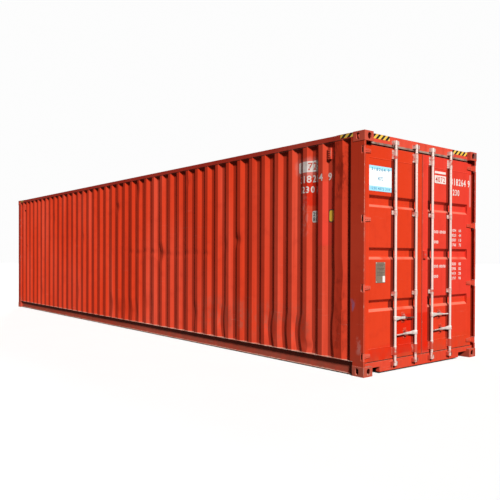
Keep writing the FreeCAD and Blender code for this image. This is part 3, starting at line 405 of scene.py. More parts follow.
def door_paint(side, base, pale, dark, patches, rod_shadows):
    """A door's paint, with a painted shadow of each lock rod on the door around it."""
    axes = sorted(joint["pos_m"][1] for joint in frame["joints"]
                  if joint["child"].startswith("rod_" + side))
    rod_shadow_patches = [(RED_DEEP, (None, y - ROD_SHADOW_REACH, ROD_SHADOW_LOW),
               (None, y + ROD_SHADOW_REACH, ROD_SHADOW_HIGH), 0.006, amount)
              for y, amount in zip(axes, rod_shadows)]
    return painted(side + "_door_paint", base, pale, dark, streaks=0.16, rust=0.35, scuffs=0.35,
                   lined=True, dust_and_sheen=0.75, dust_and_sheen_colour=DOOR_DUST_AND_SHEEN, patches=patches + rod_shadow_patches)


# the last entry of each door is how dark each rod's painted shadow is, from -Y to +Y
DOOR_PAINTS = {
    "left": door_paint("left", (0.56, 0.035, 0.008), (0.62, 0.058, 0.024), (0.33, 0.016, 0.006),
                       [(FRESH, (None, -0.62, 0.2), (None, 0.0, 0.7), 0.03, 0.9),
                        (FRESH, (None, -1.1, 0.15), (None, -0.55, 0.36), 0.12, 0.6)], (1.0, 0.8)),
    "right": door_paint("right", PINK, (0.66, 0.065, 0.04), (0.36, 0.016, 0.008),
                        [(FRESH, (None, 0.0, 0.18), (None, 0.27, 0.7), 0.03, 0.9),
                         (RED, (None, 0.2, 0.1), (None, 1.2, 0.86), 0.05, 0.7),
                         (RED, (None, 0.2, 0.1), (None, 1.2, 0.4), 0.1, 0.9),
                         (HAZE, (None, 1.115, 2.12), (None, 1.165, 2.58), 0.012, 0.45)], (1.0, 0.85)),
}
sill_paint = painted("sill_paint", (0.58, 0.046, 0.02), (0.64, 0.1, 0.06), RED_DARK, rust=0.9,
                     soiled=0.12, scuffs=0.8)
header_paint = painted("header_paint", (0.6, 0.058, 0.032), (0.68, 0.13, 0.085), (0.22, 0.02, 0.012),
                       rust=0.9, lined=True)
casting_paint = painted("casting_paint", (0.48, 0.052, 0.028), (0.54, 0.15, 0.1), (0.15, 0.03, 0.02),
                        fade=0.6, rust=1.0, scuffs=1.0, gloss=0.55,
                        patches=[((0.12, 0.085, 0.08), (6.0, 1.11, 2.8), (None, None, 2.888), 0.02, 0.7)])
hinge_paint = painted("hinge_paint", (0.54, 0.05, 0.024), (0.62, 0.17, 0.12), RED_DARK, fade=0.6,
                      rust=0.7)
catch_paint = painted("catch_paint", (0.54, 0.036, 0.012), (0.6, 0.1, 0.06), RED_DARK, fade=0.5,
                      rust=0.9)
roof_paint = painted("roof_paint", (0.44, 0.045, 0.022), (0.52, 0.14, 0.09), (0.2, 0.02, 0.012),
                     rust=1.0, dust_and_sheen=0.75, streaks=0.2, gloss=0.66)
sealant = painted("sealant", (0.5, 0.1, 0.06), (0.6, 0.33, 0.26), (0.2, 0.03, 0.02), fade=1.0,
                  rust=0.6)
lining_paint = lining()
# edge paints: real chips and rust, on a paint paler than the faces', a painted highlight along the edges
red_edge = worn_edge_and_highlight("red_edge", (0.56, 0.075, 0.038), (0.6, 0.3, 0.23), 0.45)
flange_edge = worn_edge_and_highlight("flange_edge", (0.55, 0.16, 0.11), (0.66, 0.5, 0.43), 0.9)
dark_edge = worn_edge_and_highlight("dark_edge", (0.3, 0.04, 0.025), (0.42, 0.2, 0.15), 0.5)
casting_edge = worn_edge_and_highlight("casting_edge", (0.52, 0.15, 0.1), (0.58, 0.4, 0.34), 0.7)
rod_zinc = zinc("rod_zinc", (0.76, 0.64, 0.6), (0.6, 0.43, 0.39), 0.5, stain=(0.5, 0.15, 0.11),
                cling=0.15, low=(0.32, 0.25), bare=0.51)
fitting_zinc = zinc("fitting_zinc", (0.66, 0.53, 0.49), (0.46, 0.28, 0.24), 0.8,
                    stain=(0.52, 0.075, 0.045), bare=0.39)
handle_zinc = zinc("handle_zinc", (0.74, 0.66, 0.63), (0.5, 0.38, 0.34), 0.6)
grip_zinc = zinc("grip_zinc", (0.62, 0.5, 0.46), (0.3, 0.2, 0.17), 1.0,
                 stain=(0.075, 0.022, 0.016), cling=0.0)
dark_grip = zinc("dark_grip", (0.22, 0.1, 0.08), (0.1, 0.04, 0.03), 1.0,
                 stain=(0.045, 0.016, 0.012), cling=0.0, bare=0.36)
bare_steel = zinc("bare_steel", (0.3, 0.26, 0.24), (0.17, 0.12, 0.1), 1.0)
underframe = coated("underframe_coating", (0.04, 0.03, 0.026), 0.8)
rail_zinc = coated("floor_rail_steel", (0.075, 0.06, 0.05), 0.7)
door_rubber = rubber()
floor_plywood = plywood()
gutter_chalk = gutter_paint()
data_metal = plate_metal()
white_film = marking("white_film", (0.74, 0.73, 0.72), RED_PALE, 0.16)
white_wall = marking("white_wall", (0.62, 0.55, 0.53), RED, 0.55)
white_door = marking("white_door", (0.76, 0.66, 0.63), PINK, 0.42)
red_digits = marking("red_digits", (0.5, 0.06, 0.04), (0.7, 0.62, 0.6), 0.4)
black_stripe = marking("black_stripe", (0.022, 0.019, 0.017), (0.22, 0.05, 0.03), 0.3)
yellow_stripe = marking("yellow_stripe", (0.78, 0.5, 0.07), (0.4, 0.1, 0.05), 0.26)
grey_film = marking("grey_film", (0.52, 0.5, 0.48), (0.3, 0.1, 0.07), 0.3)
yellow_film = marking("yellow_film", (0.74, 0.47, 0.05), (0.35, 0.1, 0.03), 0.26)
blue_print = marking("blue_print", (0.08, 0.27, 0.42), (0.66, 0.6, 0.56), 0.1)
dark_film = marking("dark_film", (0.05, 0.045, 0.045), (0.3, 0.06, 0.04), 0.25)
POSTER_LOW, POSTER_HIGH = place(0, -1.072, 2.205), place(0, -0.645, 2.508)
poster_film = marking("poster_film", (0.82, 0.87, 0.89), (0.66, 0.6, 0.56), 0.02, shaded=0.94,
                      band=((0.33, 0.66, 0.82), POSTER_LOW.z + 0.06, POSTER_HIGH.z - 0.042))


# ---------------------------------------------------------------- making meshes
class Shape:
    """Points and faces that grow piece by piece and end as one object."""

    def __init__(self):
        self.points = []
        self.faces = []
        self.kinds = []

    def grow(self, points, faces, kind=0):
        first = len(self.points)
        self.points += [tuple(point) for point in points]
        self.faces += [tuple(first + index for index in face) for face in faces]
        self.kinds += [kind] * len(faces)

    def loft(self, rings, kind=0):
        """Quads between rings of equally many points, closed by a face at each end."""
        count = len(rings[0])
        faces = [(row * count + k, row * count + (k + 1) % count,
                  (row + 1) * count + (k + 1) % count, (row + 1) * count + k)
                 for row in range(len(rings) - 1) for k in range(count)]
        faces.append(tuple(range(count))[::-1])
        faces.append(tuple((len(rings) - 1) * count + k for k in range(count)))
        self.grow([point for ring in rings for point in ring], faces, kind)

    def turned(self, centre, axis, profile, sides, kind=0):
        """A turned piece: profile of (radius, distance along the axis)."""
        axis = Vector(axis).normalized()
        across = axis.orthogonal().normalized()
        other = axis.cross(across)
        rings = []
        for radius, reach in profile:
            rings.append([Vector(centre) + axis * reach
                          + (across * math.cos(math.tau * k / sides)
                             + other * math.sin(math.tau * k / sides)) * radius
                          for k in range(sides)])
        self.loft(rings, kind)

    def bolt(self, centre, axis, radius, kind=0):
        """A washer with a domed head."""
        self.turned(centre, axis, [(radius * 1.5, -0.001), (radius * 1.5, radius * 0.25),
                                   (radius, radius * 0.28), (radius, radius * 0.75),
                                   (radius * 0.72, radius), (radius * 0.3, radius * 1.1)], 8, kind)

    def bar(self, low, high, bevel, kind=0):
        """A block whose edges are cut back by bevel on all sides."""
        low, high = Vector(low), Vector(high)
        rings = []
        for z, inset in ((low.z, bevel), (low.z + bevel, 0), (high.z - bevel, 0), (high.z, bevel)):
            x0, x1, y0, y1 = low.x + inset, high.x - inset, low.y + inset, high.y - inset
            b = bevel
            rings.append([(x0 + b, y0, z), (x1 - b, y0, z), (x1, y0 + b, z), (x1, y1 - b, z),
                          (x1 - b, y1, z), (x0 + b, y1, z), (x0, y1 - b, z), (x0, y0 + b, z)])
        self.loft(rings, kind)

    def finish(self, name, body, slot, *materials):
        mesh = bpy.data.meshes.new(name)
        mesh.from_pydata(self.points, [], self.faces)
        mesh.polygons.foreach_set("material_index", self.kinds)
        work = bmesh.new()
        work.from_mesh(mesh)
        bmesh.ops.recalc_face_normals(work, faces=work.faces)
        work.to_mesh(mesh)
        work.free()
        return settle(name, mesh, body, materials)


def settle(name, mesh, body, materials):
    """Make a mesh an object of the scene that rides on a body."""
    for material in materials:
        mesh.materials.append(material)
    mesh.shade_smooth()
    mesh.set_sharp_from_angle(angle=math.radians(40))
    thing = bpy.data.objects.new(name, mesh)
    link(thing)
    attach(thing, body)
    return thing


def rounded(path, radius, steps):
    """A path of corners with each corner turned into a short curve."""
    path = [Vector(corner) for corner in path]
    points = [path[0]]
    for before, corner, after in zip(path, path[1:], path[2:]):
        back, ahead = (before - corner).normalized(), (after - corner).normalized()
        reach = radius * math.tan((math.pi - back.angle(ahead)) / 2)
        start, end = corner + back * reach, corner + ahead * reach
        for step in range(steps + 1):
            share = step / steps
            points.append(start * (1 - share) ** 2 + corner * 2 * share * (1 - share) + end * share ** 2)
    return points + [path[-1]]


def halved(points, longest):
    """The points with more of them along each stretch that is longer than longest."""
    made = [points[0]]
    for here, after in zip(points, points[1:]):
        count = max(1, math.ceil((after - here).length / longest))
        made += [here.lerp(after, k / count) for k in range(1, count + 1)]
    return made


def spread(low, high, count):
    return [low + (high - low) * k / count for k in range(count + 1)]


def pressed(shape, profile, side, runs, lay, push):
    """A thin sheet: profile points swept over runs, both faces, closed all round.

    side is 1 or -1, the way from the shown face to the hidden one; lay turns (a, b, run) into a point,
    and push gives how far dents move a point.
    """
    lefts = []
    for index in range(len(profile)):
        here = profile[min(index + 1, len(profile) - 1)] - profile[max(index - 1, 0)]
        lefts.append(Vector((-here.y, here.x)).normalized() * side)
    hidden = [point + left * SKIN for point, left in zip(profile, lefts)]

    def grid(points):
        made = []
        for run in runs:
            for shown, point in zip(profile, points):
                made.append(lay(point.x, point.y, run) + push(lay(shown.x, shown.y, run)))
        return made

    wide = len(profile)
    points = grid(profile) + grid(hidden)
    second = wide * len(runs)
    last = len(runs) - 1
    shown = [(row * wide + k, row * wide + k + 1, (row + 1) * wide + k + 1, (row + 1) * wide + k)
             for row in range(last) for k in range(wide - 1)]
    back = [tuple(second + index for index in face[::-1]) for face in shown]
    rims = []
    for k in range(wide - 1):
        rims.append((k + 1, k, second + k, second + k + 1))
        rims.append((last * wide + k, last * wide + k + 1, second + last * wide + k + 1,
                     second + last * wide + k))
    for k in (0, wide - 1):
        rims += [(row * wide + k, (row + 1) * wide + k, second + (row + 1) * wide + k,
                  second + row * wide + k) for row in range(last)]
    shape.grow(points, shown + rims + back)
    shape.kinds[-len(back):] = [1] * len(back)


# ---------------------------------------------------------------- corrugated sheets
# lengths along the wall of its outer and inner flats and its slopes; the rearmost flats differ
WALL_OUTER, WALL_INNER, WALL_SLOPE = 0.072, 0.07, 0.068
WALL_REAR_INNER, WALL_REAR_OUTER = 0.068, 0.123
END_FLAT, END_SLOPE = 0.092, 0.03
ROOF_FLAT, ROOF_SLOPE = 0.091, 0.0135


def wall_corners():
    """The left wall's shown face from above, from the rear post to the front one."""
    outer, inner = wall_low.y, wall_high.y - SKIN
    along = wall_high.x
    path = [(along, inner)]
    flat_inner, flat_outer = WALL_REAR_INNER, WALL_REAR_OUTER
    pitch = WALL_OUTER + WALL_INNER + 2 * WALL_SLOPE
    while along - pitch - WALL_INNER / 2 > wall_low.x:
        along -= flat_inner
        path += [(along, inner), (along - WALL_SLOPE, outer)]
        along -= WALL_SLOPE + flat_outer
        path += [(along, outer), (along - WALL_SLOPE, inner)]
        along -= WALL_SLOPE
        flat_inner, flat_outer = WALL_INNER, WALL_OUTER
    return path + [(wall_low.x, inner)]


def folded(start, end, shown, hidden, flat, slope, least):
    """(along, depth) of even corrugations from start down to end; the first and last flats are wide.

    least is what the two wide flats have at least between them.
    """
    span = start - end
    pitch = 2 * (flat + slope)
    count = int((span - least) // pitch)
    along = start - (span - count * pitch + flat) / 2
    path = [(start, shown)]
    for _ in range(count):
        path += [(along, shown), (along - slope, hidden), (along - slope - flat, hidden),
                 (along - 2 * slope - flat, shown)]
        along -= pitch
    return path + [(end, shown)]


# dents of the left wall: x, z, half width, half height, depth inwards, shift along X
LEFT_DENTS = [
    (1.45, 1.47, 0.2, 0.2, 0.024, 0.012), (1.38, 1.4, 0.1, 0.13, 0.014, -0.01),
    (3.65, 1.66, 0.13, 0.12, 0.017, 0.01), (3.36, 1.6, 0.08, 0.15, 0.008, -0.006),
    (-0.45, 0.42, 0.2, 0.28, 0.014, 0.012), (-0.12, 0.34, 0.18, 0.26, 0.016, -0.014),
    (0.2, 0.42, 0.16, 0.24, 0.013, 0.01), (0.48, 0.36, 0.18, 0.26, 0.02, 0.014),
    (1.04, 0.52, 0.2, 0.3, 0.015, -0.012), (2.5, 0.5, 0.16, 0.22, 0.014, 0.012),
    (2.98, 0.42, 0.14, 0.26, 0.013, -0.01), (3.33, 0.44, 0.17, 0.27, 0.01, -0.05),
    (4.46, 0.42, 0.17, 0.25, 0.01, -0.055), (4.73, 0.44, 0.15, 0.25, 0.008, -0.04),
    (5.01, 0.42, 0.17, 0.27, 0.01, -0.06), (5.18, 0.27, 0.1, 0.1, 0.014, 0.02),
    (5.64, 0.5, 0.14, 0.32, 0.008, -0.036), (5.7, 1.2, 0.12, 0.24, 0.004, 0.016),
    (0.6, 2.65, 0.14, 0.2, 0.016, 0.01), (-0.2, 2.37, 0.14, 0.12, 0.02, 0.008),
    (2.4, 2.62, 0.1, 0.1, 0.01, 0.006), (5.68, 2.5, 0.1, 0.22, 0.01, 0.008),
    (5.72, 2.22, 0.08, 0.16, 0.007, -0.006), (-1.8, 1.82, 0.16, 0.1, 0.01, 0.006),
    (-2.1, 0.6, 0.22, 0.3, 0.009, 0.007), (-5.45, 1.64, 0.07, 0.06, 0.008, 0.0),
    (-3.6, 2.3, 0.2, 0.2, 0.008, 0.006), (-4.4, 0.52, 0.22, 0.3, 0.008, -0.006),
    (4.98, 1.88, 0.09, 0.25, 0.006, -0.005),
]
# a scrape runs along the ribs at the height of a passing load, from one X to another
SCRAPES = [(0.1, 3.05, 1.5, 1.43, 0.0085), (-5.00, -2.00, 1.84, 1.8, 0.0035)]
SCRAPE_REACH, SCRAPE_WANDER, WALL_WAVES = 0.06, 0.035, 0.0011
RIGHT_DENTS = [
    (4.2, 0.5, 0.2, 0.3, 0.014, -0.011), (2.1, 1.2, 0.22, 0.2, 0.018, 0.01),
    (0.3, 0.42, 0.18, 0.26, 0.013, 0.01), (-2.6, 1.62, 0.16, 0.16, 0.014, -0.008),
    (-4.3, 0.46, 0.18, 0.28, 0.013, 0.01), (5.3, 2.3, 0.12, 0.2, 0.01, 0.007),
]
END_DENTS = [
    (-0.55, 0.62, 0.24, 0.26, 0.016, 0.0), (0.4, 1.1, 0.26, 0.2, 0.014, 0.0),
    (0.8, 0.45, 0.16, 0.22, 0.012, 0.0),
]


def dented(dents, scrapes, inwards, wave_seed):
    """How far a wall's dents push a point: inwards along Y or X, and along the wall."""
    outer = wall_low.y if inwards.y else end_low.x
    deep = (wall_high.y - SKIN - wall_low.y) if inwards.y else (end_high.x - SKIN - end_low.x)
    along_axis = ALONG if inwards.y else place(0, 1, 0)

    def push(point):
        along = point.x if inwards.y else point.y
        across = abs(point.y) if inwards.y else abs(point.x)
        proud = max(0.0, min(1.0, 1 - (abs(outer) - across) / deep))
        depth = sideways = 0.0
        for x, z, half_x, half_z, deepest, shift in dents:
            if abs(along - x) < half_x and abs(point.z - z) < half_z:
                share = (1 - ((along - x) / half_x) ** 2) * (1 - ((point.z - z) / half_z) ** 2)
                crease = share * (1 - abs(point.z - z) / half_z) ** 0.5
                depth += deepest * crease * (0.3 + 0.7 * proud)
                sideways += shift * share ** 1.5
        for start, end, z_start, z_end, deepest in scrapes:
            if start < along < end:
                z = z_start + (z_end - z_start) * (along - start) / (end - start)
                z += SCRAPE_WANDER * noise.noise(place(along * 2.1, wave_seed, 0.3))
                near = max(0.0, 1 - abs(point.z - z) / SCRAPE_REACH)
                uneven = 0.55 + 0.9 * abs(noise.noise(place(along * 1.7, 0.4, wave_seed)))
                depth += deepest * near * proud * uneven
        depth += WALL_WAVES * (0.6 + noise.noise(place(along * 2.6, wave_seed, point.z * 1.3)))
        return inwards * depth + along_axis * sideways
    return push


wall_profile = rounded(wall_corners(), 0.01, 2)
end_profile = rounded([(depth, along) for along, depth in folded(
    end_high.y, end_low.y, end_low.x, end_high.x - SKIN, END_FLAT, END_SLOPE, END_FLAT)], 0.012, 3)
roof_profile = rounded(folded(roof_high.x, roof_low.x, roof_high.z, roof_low.z + SKIN, ROOF_FLAT,
                              ROOF_SLOPE, 2 * ROOF_FLAT), 0.007, 2)
# heights between which a wall's rows lie, and how many: closest where it is dented
LEFT_ROWS = [(0.75, 24), (1.3, 8), (1.7, 16), (2.15, 7), (2.75, 13)]
RIGHT_ROWS = [(0.9, 18), (2.75, 26)]


def heights(low, bands, high):
    """Row heights from low to high, each band given by its top and its number of rows."""
    made = [low]
    for top, count in bands + [(high, 2)]:
        made += spread(made[-1], top, count)[1:]
    return made


def sheet(name, node, body, slot, paint, *pressing):
    """A sheet with its paint and lining, shown in place of a CAD node."""
    shape = Shape()
    pressed(shape, *pressing)
    made = shape.finish(name, body, slot, paint, lining_paint)
    made.modifiers.new("even", "WEIGHTED_NORMAL").keep_sharp = True
    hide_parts(node)


def side_wall(side, dents, scrapes, rows, name):
    """side is -1 for the left wall and 1 for the right one."""
    push = dented(dents, scrapes, place(0, -side, 0), 1.5 + side)
    sheet(name + "_sheet", name, "frame", "red_paint", wall_paint, halved(wall_profile, 0.045), -1,
          heights(wall_low.z, rows, wall_high.z), lambda x, y, z: place(x, -side * y, z), push)
    return push


def front_wall():
    push = dented(END_DENTS, (), ALONG, 4.5)
    sheet("front_wall_sheet", "front_wall", "frame", "red_paint", end_paint, halved(end_profile, 0.035),
          1, spread(end_low.z, end_high.z, 76), place, push)
    return push


HOLLOWS, ROOF_SAG = 16, 0.0025


def roof():
    """The roof sags a little between its edges, with a few walked-on hollows."""
    random.seed(11)
    hollows = [(random.uniform(roof_low.x + 0.6, roof_high.x - 0.6), random.uniform(-0.85, 0.85),
                random.uniform(0.18, 0.35), random.uniform(0.003, 0.008)) for _ in range(HOLLOWS)]
    half = roof_high.y

    def push(point):
        depth = ROOF_SAG * (1 - (point.y / half) ** 2)
        for x, y, radius, deepest in hollows:
            share = 1 - ((point.x - x) ** 2 + (point.y - y) ** 2) / radius ** 2
            if share > 0:
                depth += deepest * share ** 2
        return UP * -depth

    sheet("roof_sheet", "roof_panel", "frame", "red_paint", roof_paint, roof_profile, 1,
          spread(roof_low.y, roof_high.y, 30), lambda x, z, y: place(x, y, z), push)


TROUGHS, TROUGH_PITCH, TROUGH_MOUTH, TROUGH_FLOOR = 3, 0.629, 0.145, 0.075
# the door sheet's waves: how deep, and the distance from its edges within which they fade out
DOOR_WAVES, EASE = 0.0022, 0.1


def door_panel(side):
    """A flat face with three pressed recesses."""
    name = "door_panel_" + side
    sign = SIGNS[side]
    face, floor_x = DOOR_FACE, door_low.x + SKIN
    middle = (door_low.z + door_high.z) / 2
    path = [(door_low.z, face)]
    for index in range(TROUGHS):
        centre = middle + (index - (TROUGHS - 1) / 2) * TROUGH_PITCH
        path += [(centre - TROUGH_MOUTH / 2, face), (centre - TROUGH_FLOOR / 2, floor_x),
                 (centre + TROUGH_FLOOR / 2, floor_x), (centre + TROUGH_MOUTH / 2, face)]
    path.append((door_high.z, face))

    def push(point):
        edge = min(1.0, (point.z - door_low.z) / EASE, (door_high.z - point.z) / EASE,
                   (abs(point.y) - abs(door_high.y)) / EASE, (abs(door_low.y) - abs(point.y)) / EASE)
        wave = 0.7 + noise.noise(place(7.0 + sign, point.y * 2.6, point.z * 1.9))
        return ALONG * (-DOOR_WAVES * max(0.0, edge) * wave)

    sheet(name + "_sheet", name, "door_" + side, "door_paint", DOOR_PAINTS[side],
          halved(rounded(path, 0.012, 4), 0.05), -1,
          [-sign * y for y in spread(door_low.y, door_high.y, 44)], lambda z, x, y: place(x, y, z), push)


push_left = side_wall(-1, LEFT_DENTS, SCRAPES, LEFT_ROWS, "side_wall_left")
push_right = side_wall(1, RIGHT_DENTS, (), RIGHT_ROWS, "side_wall_right")
push_end = front_wall()
roof()
for side in SIGNS:
    door_panel(side)


# ---------------------------------------------------------------- the frame's own pieces
def soften(name, paint, edge, width):
    """Round a CAD node's edges and paint it, with worn edges painted paler as a highlight."""
    thing = nodes[name]
    mesh = thing.data
    for spare in ("custom_normal", "sharp_edge", "sharp_face"):
        if spare in mesh.attributes:
            mesh.attributes.remove(mesh.attributes[spare])
    mesh.materials.clear()
    mesh.materials.append(paint)
    mesh.materials.append(edge)
    mesh.polygons.foreach_set("material_index", [0] * len(mesh.polygons))
    mesh.shade_smooth()
    for kind, settings in (
            ("WELD", {"merge_threshold": CLOSE}),
            ("DECIMATE", {"decimate_type": "DISSOLVE", "angle_limit": math.radians(1)}),
            ("BEVEL", {"width": width, "segments": 2, "limit_method": "ANGLE",
                       "angle_limit": math.radians(38), "harden_normals": True, "material": 1})):
        modifier = thing.modifiers.new(kind.lower(), kind)
        for key, value in settings.items():
            setattr(modifier, key, value)


# CAD nodes, their paint, the paint of their edges and the edges' rounding
SOFTENED = [
    ("corner_fittings_bottom corner_fittings_top", casting_paint, casting_edge, 0.005),
    ("front_corner_posts rear_corner_posts door_post_channels", frame_paint, red_edge, 0.003),
    ("front_sill", frame_paint, red_edge, 0.002),
    ("front_top_rail top_side_rails", top_paint, dark_edge, 0.003),
    ("roof_corner_plates", top_paint, dark_edge, 0.001),
    ("bottom_side_rails", rail_paint, flange_edge, 0.002),
    ("floor_boards", floor_plywood, floor_plywood, 0.001),
    ("floor_centre_rail", rail_zinc, rail_zinc, 0.001),
    ("cross_members tunnel_outriggers", underframe, underframe, 0.0015),
    ("tunnel_plate tunnel_sides tunnel_bows", underframe, underframe, 0.001),
    ("hinge_lugs", hinge_paint, red_edge, 0.002),
    ("door_header", header_paint, dark_edge, 0.0015),
    ("rain_gutter", gutter_chalk, gutter_chalk, 0.0006),
    ("door_sill", sill_paint, red_edge, 0.0015),
    ("cam_keepers", fitting_zinc, fitting_zinc, 0.0012),
    ("data_plate", data_metal, data_metal, 0.0005),
    ("seal_plate", DOOR_PAINTS["right"], red_edge, 0.0015),
    ("ventilators", wall_paint, red_edge, 0.0025),
    ("door_gasket_left door_gasket_right", door_rubber, door_rubber, 0.001),
    ("door_hinges_left door_hinges_right", hinge_paint, red_edge, 0.003),
    ("hinge_pins_left hinge_pins_right", bare_steel, bare_steel, 0.001),
    ("rod_brackets_left rod_brackets_right", fitting_zinc, fitting_zinc, 0.002),
    ("handle_catches_left handle_catches_right", catch_paint, red_edge, 0.0012),
]
GEAR = ("left_outer", "left_inner", "right_inner", "right_outer")
SOFTENED += [("locking_rod_" + gear, rod_zinc, rod_zinc, 0.0025) for gear in GEAR]
SOFTENED += [("door_frame_" + side, DOOR_PAINTS[side], red_edge, 0.0015) for side in SIGNS]
for names, *looks in SOFTENED:
    for name in names.split():
        soften(name, *looks)


def solids(name):
    """The box of each separate solid of a CAD node, in order of place."""
    work = bmesh.new()
    work.from_mesh(nodes[name].data)
    bmesh.ops.remove_doubles(work, verts=work.verts, dist=CLOSE)
    left = set(work.verts)
    boxes = []
    while left:
        waiting = [left.pop()]
        found = []
        while waiting:
            vert = waiting.pop()
            found.append(vert.co.copy())
            for edge in vert.link_edges:
                other = edge.other_vert(vert)
                if other in left:
                    left.remove(other)
                    waiting.append(other)
        boxes.append((Vector(map(min, zip(*found))), Vector(map(max, zip(*found)))))
    work.free()
    return sorted(boxes, key=lambda box: [round(value, 3) for value in box[0]])


# ---------------------------------------------------------------- fastenings, beads and small parts
# how far the plates of brackets and catches and the hinge blades stand off the door, and their bolts
BRACKET_PLATE, CATCH_PLATE, HINGE_BLADE = 0.008, 0.006, 0.012
BRACKET_BOLT, CATCH_BOLT, HINGE_BOLT = 0.006, 0.0055, 0.0065
# where the bolts sit: beside the rod, up a bracket that is tall, on a catch and along a hinge blade
BRACKET_BOLT_REACH, TALL_BRACKET, BRACKET_BOLT_SHARE = 0.0325, 0.07, 0.26
CATCH_BOLT_EDGE, CATCH_BOLT_SHARES, HINGE_BOLT_REACHES = 0.014, (0.22, 0.78), (0.02, 0.058, 0.092)


def door_fastenings(side):
    """Bolt heads on the brackets, catches and hinge blades of one door."""
    shape = Shape()
    way = SIGNS[side]
    for low, high in solids("rod_brackets_" + side):
        middle = (low.y + high.y) / 2
        tall = high.z - low.z
        levels = [low.z + tall * BRACKET_BOLT_SHARE, high.z - tall * BRACKET_BOLT_SHARE]
        if tall < TALL_BRACKET:
            levels = [(low.z + high.z) / 2]
        for z in levels:
            for y in (middle - BRACKET_BOLT_REACH, middle + BRACKET_BOLT_REACH):
                shape.bolt((DOOR_FACE + BRACKET_PLATE, y, z), ALONG, BRACKET_BOLT)
    for low, high in solids("handle_catches_" + side):
        for z in (low.z + CATCH_BOLT_EDGE, high.z - CATCH_BOLT_EDGE):
            for share in CATCH_BOLT_SHARES:
                y = low.y + (high.y - low.y) * share
                shape.bolt((DOOR_FACE + CATCH_PLATE, y, z), ALONG, CATCH_BOLT, 1)
    for low, high in solids("door_hinges_" + side):
        inner = low.y if side == "right" else high.y
        for reach in HINGE_BOLT_REACHES:
            shape.bolt((DOOR_FACE + HINGE_BLADE, inner + way * reach, (low.z + high.z) / 2), ALONG,
                       HINGE_BOLT, 1)
    shape.finish("door_fastenings_" + side, "door_" + side, "worn_fittings", fitting_zinc, hinge_paint)


PIN_CAP = [(0.0115, 0.0003), (0.0125, 0.0022), (0.011, 0.0045), (0.007, 0.0062), (0.0025, 0.0068)]


def pin_caps(side):
    """Domed caps that keep the hinge pins in."""
    shape = Shape()
    for low, high in solids("hinge_pins_" + side):
        for z, way in ((high.z, 1), (low.z, -1)):
            shape.turned(((low.x + high.x) / 2, (low.y + high.y) / 2, z), UP * way, PIN_CAP, 14)
    shape.finish("pin_caps_" + side, "door_" + side, "bare_steel", bare_steel)


def bead(shape, route, section):
    """A weld or sealant bead: a small section of (outwards, upwards) offsets along a level route."""
    rings = []
    for index, point in enumerate(route):
        ahead = (route[min(index + 1, len(route) - 1)] - route[max(index - 1, 0)]).normalized()
        outwards = ahead.cross(UP).normalized()
        rings.append([point + outwards * out + UP * rise for out, rise in section])
    shape.loft(rings)


BEAD_LIMIT = cad_high.y - 0.0052
BEAD_STEP, BEAD_HALF, BEAD_VARIES, BEAD_LIFT = 0.02, 0.0042, 0.0016, 0.0022


def panel_beads(side):
    """Weld round the pressed panel of a door, level runs above and below and upright ones beside it."""
    shape = Shape()
    low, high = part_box("door_panel_" + side)
    random.seed(31 if side == "left" else 37)
    face = DOOR_FACE
    lift = ALONG * BEAD_LIFT

    def run(start, end):
        count = max(2, round((end - start).length / BEAD_STEP))
        across = (end - start).normalized().cross(ALONG)
        rings = []
        for k in range(count + 1):
            spot = start.lerp(end, k / count)
            half = across * (BEAD_HALF + BEAD_VARIES * random.random())
            rings.append([spot - half, spot - half * 0.5 + lift, spot + half * 0.5 + lift, spot + half])
        shape.loft(rings)

    for z in (low.z, high.z):
        run(place(face, low.y, z), place(face, high.y, z))
    for y in (low.y, high.y):
        run(place(face, y, low.z), place(face, y, high.z))
    shape.finish("panel_beads_" + side, "door_" + side, "door_paint", DOOR_PAINTS[side])


SEAL_REACH, SEAL_SKIN = 0.018, 0.004


def seal_box():
    """A folded guard that stands over the seal plate, open below, with a hole for the seal."""
    low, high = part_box("seal_plate")
    shape = Shape()
    reach, skin = high.x + SEAL_REACH, SEAL_SKIN
    foot, left, right = high.x - 0.001, low.y + 0.003, high.y - 0.003
    section = [(foot, left), (reach, left), (reach, right), (foot, right), (foot, right - skin),
               (reach - skin, right - skin), (reach - skin, left + skin), (foot, left + skin)]
    shape.loft([[(x, y, z) for x, y in section] for z in (low.z + 0.004, high.z - 0.008)])
    shape.bar((foot, left, high.z - 0.01), (reach, right, high.z - 0.005), 0.0012)
    shape.turned((reach - 0.001, (low.y + high.y) / 2, (low.z + high.z) / 2), ALONG,
                 [(0.011, 0.0), (0.011, 0.0022), (0.0075, 0.0026), (0.007, 0.0006)], 16, 1)
    shape.finish("seal_guard", "door_right", "door_paint", DOOR_PAINTS["right"], bare_steel)


def wall_beads():
    """Sealant along the foot and head of the side walls."""
    shape = Shape()
    foot = [(-0.001, 0.0), (0.005, 0.0), (0.004, 0.0022), (0.0012, 0.0058), (-0.001, 0.0062)]
    head = [(out, -rise) for out, rise in foot]
    for side, push in ((-1, push_left), (1, push_right)):
        for z, section, clear in ((wall_low.z, foot, UP * 0.0004), (wall_high.z, head, UP * -0.0004)):
            route = []
            for x, y in wall_profile:
                point = place(x, -side * y, z)
                point += push(point)
                point.y = max(-BEAD_LIMIT, min(BEAD_LIMIT, point.y))
                route.append(point + clear)
            bead(shape, route[::side], section)
    shape.finish("wall_beads", "frame", "red_paint", sealant)


# spots in each run of a frame weld, where the runs end, how far in from the box they lie, their size
WELD_SPOTS, WELD_END_Y, WELD_END_X = 26, 1.15, 5.925
WELD_INSET, WELD_SIZE, WELD_VARIES = 0.004, 0.0036, 0.0012


